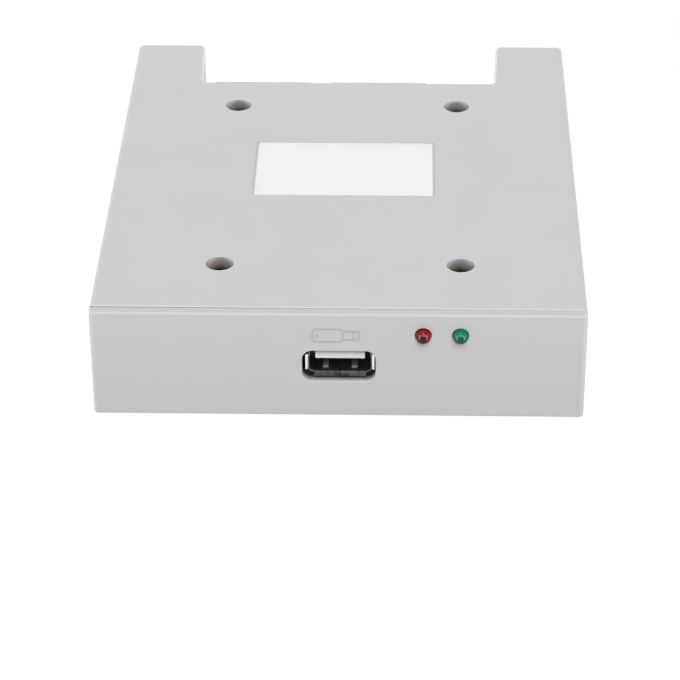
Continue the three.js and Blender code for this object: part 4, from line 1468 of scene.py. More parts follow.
@dataclass
class Panel:
    """The front panel, with its cut-out, lamp holes, locating frame and engraved mark."""

    thickness: float = 2.4
    corner: float = 1.0
    top_edge: float = 0.6
    low_edge: float = 0.45
    frame_depth: float = 2.0
    frame_wall: float = 1.2
    frame_gap: float = 2.2
    cut_half_width: float = 7.553
    cut_half_height: float = 3.753
    cut_lowered: float = 0.16
    cut_raised: float = 0.08
    cut_corner: float = 2.1
    cut_rim: float = 0.28
    lamp_bore: float = 1.7
    lamp_pocket: float = 2.05
    lamp_rim: float = 0.16
    collar_wall: float = 0.6
    mark: StickMark = field(default_factory=StickMark)
    # How far a face turns sideways before it gets the painted light of the upright edges.
    sideways: float = 0.25

    def __post_init__(self) -> None:
        """Reads the panel's extent and its neighbours' places from the frame."""
        box = Box.of("front_panel")
        self.half = box.high.x
        self.front = box.low.y
        self.back = self.front + self.thickness
        self.height = box.high.z
        self.lamps = [Box.of(f"{colour}_lamp") for colour in LAMP_COLOURS]
        self.socket = Box.of("usb_insulator").centre

    def plate(self) -> Solid:
        """Makes the plate with its rounded front.

        Returns:
            The plate.
        """
        plate = Solid.block((-self.half, self.front, 0), (self.half, self.back, self.height))
        at_front = at_level(Axis.Y, self.front)
        plate.bevel(lambda a, b: at_front(a, b) and near(a.x, b.x), self.corner, 8)
        plate.bevel(at_level(Axis.Z, self.height), self.top_edge, 6)
        return plate.bevel(at_level(Axis.Z, 0.0), self.low_edge, 6)

    def locating_frame(self) -> Solid:
        """Makes the frame that plugs into the covers.

        Returns:
            The frame.
        """
        x = self.half - self.frame_gap
        sides = (-x, x, self.frame_gap, self.height - self.frame_gap)
        ends = (self.back - self.thickness / 2, self.back + self.frame_depth)
        return ring(sides, self.frame_wall, ends)

    def socket_cut(self) -> Solid:
        """Makes the cutter of the socket's opening, with a rounded rim.

        Returns:
            The cutter.
        """
        rim = self.cut_rim
        x = self.socket.x
        z = Socket.height
        half_x = self.cut_half_width + rim
        half_z = self.cut_half_height + rim
        cutter = Solid.sheet(
            rectangle(x - half_x, x + half_x, z - half_z + self.cut_raised, z + half_z - self.cut_lowered),
            self.front - OVERRUN,
            Axis.Y,
        )
        cutter.rounded(cutter.bm.verts[:], self.cut_corner + rim, 10, "VERTICES")
        face = cutter.pushed(cutter.bm.faces[:], (0, OVERRUN, 0))
        points = quarter_round(5)
        for (deep, near_side), (deeper, far_side) in reversed(list(zip(points, points[1:]))):
            width = rim * (deeper - deep)
            bmesh.ops.inset_region(
                cutter.bm, faces=face, thickness=width, use_even_offset=True, use_boundary=True
            )
            cutter.shifted(face, (0, rim * (near_side - far_side), 0))
        made = bmesh.ops.extrude_discrete_faces(cutter.bm, faces=face)["faces"]
        cutter.shifted(made, (0, self.thickness + OVERRUN, 0))
        return cutter.outward()

    def lamp_hole(self, lamp: Box) -> Solid:
        """Makes the cutter of a lamp's hole and of the pocket for its flange.

        Args:
            lamp: The lamp's extent.

        Returns:
            The cutter.
        """
        bore = self.lamp_bore
        rim = self.lamp_rim
        flange = lamp.high.y - self.front
        rounding = [(bore + rim * out, rim * down) for down, out in quarter_round(4)]
        profile = [
            (0, -OVERRUN),
            (bore + rim, -OVERRUN),
            *rounding,
            (bore, self.thickness),
            (self.lamp_pocket, self.thickness),
            (self.lamp_pocket, flange + OVERRUN),
            (0, flange + OVERRUN),
        ]
        return Solid.spun(profile, (lamp.centre.x, self.front, lamp.centre.z), 56, Axis.Y)

    def build(self) -> None:
        """Makes the panel."""
        panel = self.plate()
        radius = self.lamp_pocket + self.collar_wall
        start = self.front + self.thickness / 2
        collars = [
            cylinder(radius, (lamp.centre.x, start, lamp.centre.z), lamp.high.y - start, 48, Axis.Y)
            for lamp in self.lamps
        ]
        panel.plus(self.locating_frame(), *collars)
        holes = [self.lamp_hole(lamp) for lamp in self.lamps]
        panel.minus(self.socket_cut(), *holes, *self.mark.cutters(self.front))
        finishes = [PANEL, CUT_SHADE, MARK_SHADE, PANEL_EDGE_LIGHT]
        panel.dressed(self.face_finish, finishes)
        make_piece("panel_front", panel, finishes, ["front_panel"])

    def face_finish(self, face: Face) -> Finish:
        """Picks a face's finish: the outside, the socket's opening, an upright edge or an engraved line, each
        with painted shade or painted light.

        Args:
            face: A face of the panel.

        Returns:
            The finish.
        """
        centre = face.calc_center_median()
        depth = centre.y - self.front
        beside = abs(centre.x - self.socket.x) < self.cut_half_width + HAIR
        level = abs(centre.z - Socket.height) < self.cut_half_height + HAIR
        if beside and level and self.cut_rim - 0.1 < depth:
            return CUT_SHADE
        # Painted light on the panel's upright rounded edges.
        outer = depth < self.corner and abs(centre.x) > self.half - self.corner
        if outer and abs(face.normal.x) > self.sideways:
            return PANEL_EDGE_LIGHT
        return MARK_SHADE if self.mark.holds(centre, depth) else PANEL


@dataclass
class Socket:
    """The memory stick socket: stamped shell, insulator and four contacts."""

    height: float = 12.1
    half_width: float = 6.25
    half_height: float = 2.56
    sheet: float = 0.3
    corner: float = 0.6
    bend: float = 0.75
    sweep: float = math.radians(80)
    aside: float = 0.2
    lip_half: float = 5.45
    side_lip: Pair = (-1.7, 1.9)
    lip_front: float = 1.4
    slot_front: float = 0.65
    finger_x: float = 3.0
    finger_half: float = 0.6
    slot: float = 0.22
    joint: float = 0.05
    finger_length: float = 5.2
    finger_tip: float = 0.058
    finger_steps: tuple[float, ...] = (0.1, 0.15, 0.2, 0.3, 0.4, 0.5, 0.6, 0.7, 0.8)
    rise: float = 0.45
    rise_shares: Triple = (0.35, 0.2, 0.8)
    fold: float = math.radians(50)
    fold_edge: float = 0.05
    # How far up from the lower wall the lower lip's inner ledge gets its lighter painted shade.
    ledge: float = 0.16
    leg_start: float = 6.0
    leg_width: float = 2.6
    contact_width: float = 1.0
    contact_sheet: float = 0.25
    contact_bend: float = 0.22
    contact_line: tuple[Pair, ...] = ((0, 0.15), (0.25, 0.6), (0.5, 0.55), (0.75, 0.25))
    base_depth: float = 3.4
    base_gap: float = 0.15
    base_edge: float = 0.2
    tongue_half: float = 5.15
    tongue_height: float = 1.79
    tongue_drop: float = 0.72
    tongue_back: float = 1.7
    tongue_edge: float = 0.16
    tongue_rake: float = 0.45
    groove: Pair = (2.6, 1.34)
    groove_side: float = 0.2
    groove_front: float = 0.3

    def __post_init__(self) -> None:
        """Reads the socket's place from the frame."""
        self.face = Box.of("front_panel").low.y
        self.shell_box = Box.of("usb_shell")
        self.x = self.shell_box.centre.x + self.aside
        self.flare = self.face + self.lip_front + (self.bend + self.sheet) * math.sin(self.sweep)
        self.back = self.shell_box.high.y
        self.slot_start = self.flare + self.slot_front
        self.slot_tip = self.slot_start + self.finger_length * self.finger_tip
        self.slot_end = self.slot_start + self.finger_length

    def finger_rise(self, y: float) -> float:
        """Gives how far a holding spring stands in from its wall.

        Args:
            y: The distance behind the slot's front.

        Returns:
            The rise in millimetres.
        """
        root, crest, bend = self.rise_shares
        crest *= self.finger_length
        bend *= self.finger_length
        if y <= crest:
            climb = max(y - self.slot, 0) / (crest - self.slot)
            return self.rise * (root + (1 - root) * math.sin(math.pi / 2 * climb))
        share = min(1.0, (y - crest) / (bend - crest))
        return self.rise * (0.5 + 0.5 * math.cos(math.pi * share))

    def shell(self) -> None:
        """Makes the stamped shell with its flared lips and holding springs."""
        shell = Solid.block(
            (-self.half_width, self.flare, -self.half_height), (self.half_width, self.back, self.half_height)
        ).corners(Axis.Y, self.corner, 6)
        bm = shell.bm
        ends = [f for f in bm.faces if abs(f.normal.y) > 0.9]
        bmesh.ops.delete(bm, geom=ends, context="FACES")
        self.mark_out(bm)
        self.press_springs(bm)
        self.flare_lips(bm)
        start = self.flare + self.leg_start
        foot = self.shell_box.low.z - self.height
        leg = rectangle(start, start + self.leg_width, foot, self.corner - self.half_height)
        shell.also(*[Solid.sheet(leg, side * self.half_width, Axis.X) for side in (-1, 1)])
        bmesh.ops.remove_doubles(bm, verts=bm.verts[:], dist=WELD)
        for face in bm.faces:
            centre = face.calc_center_median()
            x, z = centre.x / self.half_width, centre.z / self.half_height
            if (face.normal.x * x if abs(x) > abs(z) else face.normal.z * z) < 0:
                face.normal_flip()
        # Besides the plated steel, these finishes are painted shade inside the shell and on the lower lip.
        finishes = [SHELL, INSIDE_SHADE, LOWER_LIP_SHADE, SPRING_SHADE, LEDGE_SHADE]
        shell.dressed(self.shell_finish, finishes)
        shell.moved((self.x, 0, self.height))
        piece = make_piece("socket_shell", shell, finishes, ["usb_shell"])
        sheet = piece.modifiers.new("sheet", "SOLIDIFY")
        sheet.thickness = self.sheet * MM
        sheet.offset = 1.0
        sheet.use_even_offset = True
        soften = piece.modifiers.new("soften", "BEVEL")
        soften.width = self.fold_edge * MM
        soften.segments = 2
        soften.limit_method = "ANGLE"
        soften.angle_limit = self.fold
        piece.modifiers.move(0, 2)

    def mark_out(self, bm: bmesh.types.BMesh) -> None:
        """Cuts the tube's walls along the lines of the lips, the springs and the joint.

        Args:
            bm: The tube.
        """
        cuts = [(Axis.X, side * self.lip_half) for side in (-1, 1)]
        cuts += [(Axis.Z, level) for level in self.side_lip]
        cuts += [(Axis.X, side * self.joint) for side in (-1, 1)]
        for side in (-1, 1):
            for reach in (self.finger_half, self.finger_half + self.slot):
                cuts += [(Axis.X, side * self.finger_x - reach), (Axis.X, side * self.finger_x + reach)]
        shares = (0, self.finger_tip, *self.finger_steps, 1)
        cuts += [(Axis.Y, self.slot_start + self.finger_length * share) for share in shares]
        for axis, level in cuts:
            normal = axis.point(0, 0, 1)
            whole = bm.verts[:] + bm.edges[:] + bm.faces[:]
            bmesh.ops.bisect_plane(bm, geom=whole, dist=1e-4, plane_co=normal * level, plane_no=normal)

    def press_springs(self, bm: bmesh.types.BMesh) -> None:
        """Opens the slots and the joint, and presses the springs inwards.

        Args:
            bm: The tube.
        """
        gaps = []
        for face in bm.faces:
            centre = face.calc_center_median()
            across = abs(abs(centre.x) - self.finger_x)
            in_joint = centre.z < SLACK - self.half_height and abs(centre.x) < self.joint
            beside = self.finger_half < across < self.finger_half + self.slot
            before = across < self.finger_half and centre.y < self.slot_tip
            along = near(abs(centre.z), self.half_height) and self.slot_start < centre.y < self.slot_end
            if in_joint or (along and (beside or before)):
                gaps.append(face)
        bmesh.ops.delete(bm, geom=gaps, context="FACES")
        for vert in bm.verts:
            across = abs(abs(vert.co.x) - self.finger_x)
            on_spring = self.slot_tip - SLACK <= vert.co.y < self.slot_end - SLACK
            if near(abs(vert.co.z), self.half_height) and across <= self.finger_half + SLACK and on_spring:
                vert.co.z -= math.copysign(self.finger_rise(vert.co.y - self.slot_start), vert.co.z)

    def shell_finish(self, face: Face) -> Finish:
        """Picks a face's finish: bright lips, inside walls and springs with painted shade, and a lower lip
        with painted shade, lighter on its inner ledge.

        Args:
            face: A face of the shell.

        Returns:
            The finish.
        """
        centre = face.calc_center_median()
        at_bottom = centre.z < SLACK - self.half_height and abs(centre.x) < self.lip_half
        # Painted shade on the lower lip, lighter on its inner ledge.
        if at_bottom and centre.z > -self.half_height - self.ledge and centre.y < self.flare:
            return LEDGE_SHADE
        if centre.y < self.flare:
            return LOWER_LIP_SHADE if centre.z < -self.half_height else SHELL
        # Painted shade on the springs and, darker, on the inside walls.
        on_spring = abs(abs(centre.x) - self.finger_x) < self.finger_half
        return SPRING_SHADE if on_spring and abs(centre.z) < self.half_height - HAIR else INSIDE_SHADE

    def flare_lips(self, bm: bmesh.types.BMesh) -> None:
        """Turns the four lips out of the mouth's edges.

        Args:
            bm: The tube.
        """
        radius = self.bend + self.sheet
        at_mouth = at_level(Axis.Y, self.flare)
        wide = (-self.lip_half, self.lip_half)
        lips = [
            (Axis.Z, 1, self.half_height, wide, Axis.X, -1),
            (Axis.Z, -1, self.half_height, wide, Axis.X, 1),
            (Axis.X, 1, self.half_width, self.side_lip, Axis.Z, 1),
            (Axis.X, -1, self.half_width, self.side_lip, Axis.Z, -1),
        ]
        for out, side, reach, (low, high), hinge, sign in lips:
            on_wall = at_level(out, side * reach)
            edges = [
                edge
                for edge in bm.edges
                if all(pick(*[v.co for v in edge.verts]) for pick in (at_mouth, on_wall))
                and all(low - SLACK <= v.co[hinge.value] <= high + SLACK for v in edge.verts)
            ]
            verts = list({v for edge in edges for v in edge.verts})
            centre = out.point(0, 0, side * (reach + radius)) + Vector((0, self.flare, 0))
            axis = hinge.point(0, 0, sign)
            bmesh.ops.spin(bm, geom=verts + edges, cent=centre, axis=axis, angle=self.sweep, steps=8)
        for face in bm.faces:
            face.normal_update()

    def insulator(self) -> None:
        """Makes the insulator: a block at the back and a tongue over the contacts."""
        box = Box.of("usb_insulator")
        front = box.low.y
        half = self.half_height - self.base_gap
        low = Vector((box.low.x + self.aside, self.back - self.base_depth, self.height - half))
        high = Vector((box.high.x + self.aside, self.back, self.height + half))
        base = Solid.block(low, high).all_edges(self.base_edge, 3)
        top = self.height + self.half_height - self.tongue_drop
        tongue = Solid.block(
            (self.x - self.tongue_half, front, top - self.tongue_height),
            (self.x + self.tongue_half, self.back - self.tongue_back, top),
        )
        for vert in tongue.bm.verts:
            if near(vert.co.y, front) and near(vert.co.z, top):
                vert.co.y += self.tongue_rake
        tongue.all_edges(self.tongue_edge, 4)
        half = self.contact_width / 2 + self.groove_side
        start = front + self.groove_front
        deep, shallow = self.groove
        grooves = [
            Solid.block((x - half, start, top - deep), (x + half, self.back + OVERRUN, top - shallow))
            for x in self.contact_places()
        ]
        base.plus(tongue).minus(*grooves)
        finishes = [WHITE, TONGUE_SHADOW]
        # The tongue's front gets the white plastic with a painted shadow along its top.
        base.dressed(lambda face: TONGUE_SHADOW if face.calc_center_median().y < start else WHITE, finishes)
        make_piece("socket_insulator", base, finishes, ["usb_insulator"])

    def contact_places(self) -> list[float]:
        """Lists the contacts' places across the socket."""
        return [Box.of(f"usb_contact_{index}").centre.x + self.aside for index in range(1, 5)]

    def contacts(self) -> None:
        """Makes the four contacts."""
        for index, x in enumerate(self.contact_places(), start=1):
            node = f"usb_contact_{index}"
            box = Box.of(node)
            front = box.low.y
            top = box.high.z
            run = self.back - self.base_depth - front
            drop = box.high.y - self.contact_sheet
            line = [(front + share * run, top - down) for share, down in self.contact_line]
            line += [(drop, top - self.contact_sheet), (drop, box.low.z)]
            strip = Solid.strip(line, self.contact_width, self.contact_sheet, self.contact_bend)
            strip.moved((x, 0, 0))
            make_piece(f"socket_contact_{index}", strip, [GOLD], [node])

    def build(self) -> None:
        """Makes the socket."""
        self.shell()
        self.insulator()
        self.contacts()


class Tint(Enum):
    """A lamp's colours: the upper part with painted light, the deep middle and the cup's pale rim."""

    RED = (srgb(154, 14, 16), srgb(90, 4, 10), srgb(236, 168, 168))
    GREEN = (srgb(18, 138, 108), srgb(12, 98, 94), srgb(164, 214, 206))


@dataclass
class Lamp:
    """A three millimetre lamp: tinted lens, reflector cup and post."""

    colour: str = "red"
    tint: Tint = Tint.RED
    radius: float = 1.55
    flange: float = 1.9
    flange_thickness: float = 0.9
    fillet: float = 0.1
    edge: float = 0.08
    cup: tuple[Pair, ...] = ((0, 1.55), (0.28, 1.55), (0.62, 1.15), (0.7, 1.15), (0.72, 1.75), (0.3, 1.9))
    cup_end: float = 4.2
    cup_aside: float = -0.22
    post: tuple[Triple, Triple] = ((0.75, 1.3, -0.25), (1.15, 4.2, 0.25))
    post_edge: float = 0.06

    def build(self) -> None:
        """Makes the lens and the lead frame in it."""
        box = Box.of(f"{self.colour}_lamp")
        at = Vector((box.centre.x, box.low.y, box.centre.z))
        length = box.size.y
        dome = [(self.radius * (1 - inward), self.radius * back) for back, inward in quarter_round(16)]
        flange = length - self.flange_thickness
        edge = self.edge
        profile = [
            *dome,
            (self.radius, flange - self.fillet),
            (self.radius + self.fillet, flange),
            (self.flange - edge, flange),
            (self.flange, flange + edge),
            (self.flange, length - edge),
            (self.flange - edge, length),
            (0, length),
        ]
        lens = Solid.spun(profile, at, 56, Axis.Y)
        finish = LampEpoxy(f"{self.colour}_lens", *self.tint.value, at.x, at.z)
        make_piece(f"{self.colour}_lens_body", lens, [finish], [f"{self.colour}_lamp"])
        stem = self.cup[-1][0]
        profile = [*self.cup, (stem, self.cup_end), (0, self.cup_end)]
        cup = Solid.spun(profile, at, 28, Axis.Y).moved((self.cup_aside, 0, 0))
        post = Solid.block(*[at + Vector(corner) for corner in self.post]).all_edges(self.post_edge, 2)
        frame_piece = cup.also(post)
        make_piece(f"{self.colour}_lead_frame", frame_piece, [TIN])


@dataclass
class PinRow:
    """Square pins that come out of a connector and turn down through the board."""

    pin: float = 0.64
    tip: float = 0.16
    bend: float = 0.45

    def bent(self, x: float, mouth: float, drop: float, level: float, foot: float) -> Solid:
        """Makes a right-angle pin.

        Args:
            x: Its place across the board.
            mouth: The Y of its tip.
            drop: The Y of its tail's middle.
            level: The Z of its upper part's middle.
            foot: The Z of its tail's end.

        Returns:
            The pin.
        """
        half = self.pin / 2
        line = [(mouth, level + half), (drop - half, level + half), (drop - half, foot)]
        pin = Solid.strip(line, self.pin, self.pin, self.bend)
        return pin.bevel(at_level(Axis.Y, mouth), self.tip, 1).moved((x, 0, 0))

    def straight(self, x: float, y: float, foot: float, top: float) -> Solid:
        """Makes an upright pin with chamfered ends.

        Args:
            x: Its place across the board.
            y: Its place along the board.
            foot: The Z of its lower end.
            top: The Z of its upper end.

        Returns:
            The pin.
        """
        half = self.pin / 2
        pin = Solid.block((x - half, y - half, foot), (x + half, y + half, top))
        return pin.bevel(lambda a, b: near(a.z, b.z), self.tip, 1)


@dataclass
class RearConnectors:
    """The data header, the power connector, and the selection pins with their caps."""

    pitch: float = 2.54
    columns: int = 17
    power_pitch: float = 2.5
    power_pins: int = 4
    wall: float = 1.2
    base: float = 2.5
    key: float = 4.5
    pin_recess: float = 0.8
    depth: float = 8.9
    row_gap: float = 1.5
    power_wall: float = 0.9
    power_base: float = 2.2
    power_depth: float = 6.4
    latch: float = 3.0
    shroud_edge: float = 0.18
    inside_corner: float = 0.25
    base_corner: float = 0.5
    base_edge: float = 0.15
    cap_corner: float = 0.35
    cap_top: float = 0.25
    cap_foot: float = 0.12
    cap_hole: float = 1.0
    cap_hole_corner: float = 0.1
    spring: Pair = (0.36, 0.47)
    spring_half: float = 0.3
    spring_ends: Pair = (0.4, 0.5)
    pins: PinRow = field(default_factory=PinRow)

    def __post_init__(self) -> None:
        """Reads the connectors' places from the frame."""
        self.board = Box.of("circuit_board")
        self.header = Box.of("data_header")
        self.power = Box.of("power_connector")
        self.selector = Box.of("selector_block")
        self.on_board = self.board.high.z + BOARD_GAP
        self.foot = self.header.low.z
        self.joints: list[Pair] = []

    def shroud(self, box: Box, front: float, wall: float, base: float, key: float) -> Solid:
        """Makes a connector's shroud, open to the back, with a gap in its upper wall.

        Args:
            box: The connector's extent.
            front: The Y of the shroud's closed end.
            wall: The thickness of its walls.
            base: The thickness of its closed end.
            key: The width of the gap.

        Returns:
            The shroud.
        """
        low = Vector((box.low.x, front, self.on_board))
        high = box.high.copy()
        body = Solid.block(low, high).all_edges(self.shroud_edge, 3)
        start = front + base
        end = high.y + OVERRUN
        inside = Solid.block((low.x + wall, start, low.z + wall), (high.x - wall, end, high.z - wall))
        x = box.centre.x
        half = key / 2
        gap = Solid.block((x - half, start, high.z - wall - OVERRUN), (x + half, end, high.z + OVERRUN))
        return body.minus(inside.corners(Axis.Y, self.inside_corner, 3), gap)

    def bent_pins(self, box: Box, pitch: float, columns: int, rows: Sequence[Pair]) -> Solid:
        """Makes rows of right-angle pins and notes where they pass the board.

        Args:
            box: The connector's extent.
            pitch: The distance between pins.
            columns: How many pins a row has.
            rows: The Y of each row's tails and the Z of its upper parts.

        Returns:
            The pins.
        """
        mouth = box.high.y - self.pin_recess
        pins = Solid()
        for drop, level in rows:
            for column in range(columns):
                x = box.centre.x + (column - (columns - 1) / 2) * pitch
                pins.also(self.pins.bent(x, mouth, drop, level, self.foot))
                self.joints.append((x, drop))
        return pins

    def data_header(self) -> None:
        """Makes the data header: its shroud and its pins."""
        box = self.header
        front = box.high.y - self.depth
        shroud = self.shroud(box, front, self.wall, self.base, self.key)
        make_piece("data_shroud", shroud, [BLACK], ["data_header"])
        middle = (self.on_board + box.high.z) / 2
        rows = [
            (front - self.row_gap - row * self.pitch, middle + (row - 0.5) * self.pitch) for row in (0, 1)
        ]
        pins = self.bent_pins(box, self.pitch, self.columns, rows)
        make_piece("data_pins", pins, [GOLD])

    def power_connector(self) -> None:
        """Makes the power connector: its shroud and its pins."""
        box = self.power
        front = box.high.y - self.power_depth
        shroud = self.shroud(box, front, self.power_wall, self.power_base, self.latch)
        make_piece("power_shroud", shroud, [CREAM], ["power_connector"])
        rows = [(front + self.power_base / 2, (self.on_board + box.high.z) / 2)]
        pins = self.bent_pins(box, self.power_pitch, self.power_pins, rows)
        make_piece("power_pins", pins, [TIN])

    def selection(self) -> None:
        """Makes the selection pins' base and the pins."""
        box = self.selector
        low = Vector((box.low.x, box.low.y, self.on_board))
        high = Vector((box.high.x, box.high.y, self.on_board + self.base))
        base = Solid.block(low, high).corners(Axis.Z, self.base_corner, 2)
        base.bevel(at_level(Axis.Z, high.z), self.base_edge, 2)
        make_piece("selection_base", base, [BLACK], ["selector_block"])
        pins = Solid()
        for row in (-0.5, 0.5):
            for column in (-1, 0, 1):
                x = box.centre.x + column * self.pitch
                y = box.centre.y + row * self.pitch
                pins.also(self.pins.straight(x, y, box.low.z, box.high.z))
                self.joints.append((x, y))
        make_piece("selection_pins", pins, [GOLD])

    def caps(self) -> None:
        """Makes the two jumper caps, each with its spring contacts."""
        for index in (1, 2):
            node = f"jumper_cap_{index}"
            box = Box.of(node)
            low, high = box.low.z, box.high.z
            body = Solid.block(box.low, box.high).corners(Axis.Z, self.cap_corner, 4)
            body.bevel(at_level(Axis.Z, high), self.cap_top, 3)
            body.bevel(at_level(Axis.Z, low), self.cap_foot, 2)
            half = self.cap_hole / 2
            foot, head = low + self.spring_ends[0], high - self.spring_ends[1]
            holes = []
            springs = Solid()
            x = box.centre.x
            for row in (-0.5, 0.5):
                y = box.centre.y + row * self.pitch
                hole = Solid.block((x - half, y - half, low - OVERRUN), (x + half, y + half, high + OVERRUN))
                holes.append(hole.corners(Axis.Z, self.cap_hole_corner, 2))
                for side in (-1, 1):
                    inner, outer = sorted(x + side * reach for reach in self.spring)
                    low_corner = (inner, y - self.spring_half, foot)
                    springs.also(Solid.block(low_corner, (outer, y + self.spring_half, head)))
            body.minus(*holes)
            make_piece(f"cap_{index}", body, [BLUE], [node], node)
            make_piece(f"cap_{index}_springs", springs, [TIN], (), node)

    def build(self) -> None:
        """Makes everything at the back of the board."""
        self.data_header()
        self.power_connector()
        self.selection()
        self.caps()


@dataclass
class Board:
    """The circuit board, with its solder joints and the parts on it."""

    corner: float = 1.0
    joint: tuple[Pair, ...] = ((0, 0), (0.85, 0), (0.8075, -0.08), (0.5, -0.4), (0.4, -0.7), (0, -0.7))
    pad: tuple[Pair, ...] = ((0, 0), (0.85, 0), (0.85, 0.03), (0.45, 0.12), (0, 0.12))
    lead_reach: float = 1.0
    lead_sheet: float = 0.18
    lead_bend: float = 0.08
    lead_foot: float = 0.2
    lead_knees: Pair = (0.3, 0.5)
    chip_lift: float = 0.15
    chip_edge: float = 0.16
    dimple: Triple = (0.35, 0.9, 0.1)
    can_radius: float = 3.15
    can_foot: Pair = (0.6, 0.9)
    foot_chamfer: float = 1.3
    can_groove: float = 2.4
    groove: Pair = (0.3, 0.35)
    can_edge: float = 0.35
    can_recess: Pair = (0.5, 0.06)
    crystal_flange: float = 0.4
    crystal_inset: float = 0.55
    crystal_flat: float = 0.05
    crystal_edge: float = 0.35
    network_edge: float = 0.4
    tiny_end: float = 0.42
    tiny_inset: float = 0.06
    tiny_edges: Pair = (0.04, 0.06)

    def __post_init__(self) -> None:
        """Reads the board's extent from the frame."""
        self.box = Box.of("circuit_board")

    def laminate(self) -> None:
        """Makes the board, with its four screw holes."""
        box = self.box
        slab = Solid.block(box.low, box.high).corners(Axis.Z, self.corner, 5)
        wells = [Box.of(f"case_screw_{place}").centre for place in SCREW_PLACES]
        holes = [cylinder(Case.screw_hole / 2, (w.x, w.y, box.low.z - OVERRUN), 4, 32) for w in wells]
        slab.minus(*holes)
        finishes = [MASK, EDGE]
        slab.dressed(lambda face: MASK if abs(face.normal.z) > 0.5 else EDGE, finishes)
        make_piece("board", slab, finishes, ["circuit_board"])

    def solder(self, joints: Sequence[Pair]) -> None:
        """Makes a pad and a fillet of solder at every pin.

        Args:
            joints: The pins' places on the board.
        """
        low, high = self.box.low.z, self.box.high.z
        all_joints = Solid()
        for x, y in joints:
            all_joints.also(Solid.spun(self.joint, (x, y, low), 14), Solid.spun(self.pad, (x, y, high), 14))
        make_piece("board_solder", all_joints, [TIN])

    def gull_chip(self, node: str, leads: int, pitch: float, width: float, four_sides: bool = False) -> None:
        """Makes a moulded chip with bent leads.

        Args:
            node: The CAD node that it stands for.
            leads: How many leads each row has.
            pitch: The distance between leads.
            width: A lead's width.
            four_sides: Whether it has rows on all four sides.
        """
        box = Box.of(node)
        reach = self.lead_reach
        end = reach if four_sides else 0
        low = Vector((box.low.x + end, box.low.y + reach, box.low.z + self.chip_lift))
        high = Vector((box.high.x - end, box.high.y - reach, box.high.z))
        radius, inset, depth = self.dimple
        dimple = cylinder(radius, (low.x + inset, low.y + inset, high.z - depth), 1, 20)
        body = Solid.block(low, high).all_edges(self.chip_edge, 2).minus(dimple)
        edge = (high.y - low.y) / 2
        top = (low.z + high.z) / 2
        foot = box.low.z + self.lead_foot
        root, knee = self.lead_knees
        line = [(edge - root, top), (edge + root, top), (edge + knee, foot), (edge + reach, foot)]
        finishes = [RESIN, TIN]
        for quarter in (0, 1, 2, 3) if four_sides else (0, 2):
            for index in range(leads):
                lead = Solid.strip(line, width, self.lead_sheet, self.lead_bend)
                lead.moved(((index - (leads - 1) / 2) * pitch, 0, 0))
                lead.turned(quarter * math.pi / 2, Axis.Z).moved((box.centre.x, box.centre.y, 0))
                body.also(lead.dressed(lambda face: TIN, finishes))
        make_piece(f"{node}_body", body, finishes, [node])

    def can(self, node: str) -> None:
        """Makes an electrolytic capacitor: an aluminium can on a moulded foot.

        Args:
            node: The CAD node that it stands for.
        """
        box = Box.of(node)
        radius, height, edge = self.can_radius, box.size.z, self.can_edge
        start, foot_height = self.can_foot
        depth, half = self.groove
        waist = [
            (radius - depth * math.sin(math.pi * step / 8), self.can_groove - half + 2 * half * step / 8)
            for step in range(9)
        ]
        crown = [(radius - edge * inward, height - edge * down) for inward, down in quarter_round(5)]
        rim, recess = self.can_recess
        top = height - recess
        profile = [(0, start), (radius, start), *waist, *crown, (radius - rim, top), (0, top)]
        can = Solid.spun(profile, (box.centre.x, box.centre.y, box.low.z), 56)
        foot = Solid.block(box.low, (box.high.x, box.high.y, box.low.z + foot_height))
        foot.bevel(lambda a, b: upright(a, b) and a.y > box.centre.y, self.foot_chamfer, 1)
        finishes = [CAN, BLACK]
        make_piece(f"{node}_body", can.also(foot.dressed(lambda face: BLACK, finishes)), finishes, [node])

    def crystal(self) -> None:
        """Makes the crystal's can on its flange."""
        box = Box.of("crystal")
        flange = Solid.block(box.low, (box.high.x, box.high.y, box.low.z + self.crystal_flange))
        flange.corners(Axis.Z, box.size.y / 2 - self.crystal_flat, 10)
        inset = self.crystal_inset
        top = Solid.block(
            (box.low.x + inset, box.low.y + inset, box.low.z + self.crystal_flange / 2),
            (box.high.x - inset, box.high.y - inset, box.high.z),
        ).corners(Axis.Z, box.size.y / 2 - inset - self.crystal_flat, 10)
        top.bevel(at_level(Axis.Z, box.high.z), self.crystal_edge, 4)
        make_piece("crystal_can", flange.plus(top), [CAN], ["crystal"])

    def network(self) -> None:
        """Makes the resistor network."""
        box = Box.of("resistor_network")
        body = Solid.block(box.low, box.high).all_edges(self.network_edge, 4)
        make_piece("network_body", body, [NETWORK], ["resistor_network"])

    def tiny_part(self, node: str, finish: Finish) -> None:
        """Makes a chip resistor or capacitor with its plated ends.

        Args:
            node: The CAD node that it stands for.
            finish: The finish of its middle.
        """
        box = Box.of(node)
        inset = Vector((self.tiny_inset,) * 3)
        body = Solid.block(box.low + inset, box.high - inset).all_edges(self.tiny_edges[0], 1)
        outer = box.size.x / 2
        finishes = [finish, TIN]
        for side in (-1, 1):
            start, end = sorted(box.centre.x + side * reach for reach in (outer, outer - self.tiny_end))
            cap = Solid.block((start, box.low.y, box.low.z), (end, box.high.y, box.high.z))
            body.also(cap.all_edges(self.tiny_edges[1], 2).dressed(lambda face: TIN, finishes))
        make_piece(f"{node}_body", body, finishes, [node])

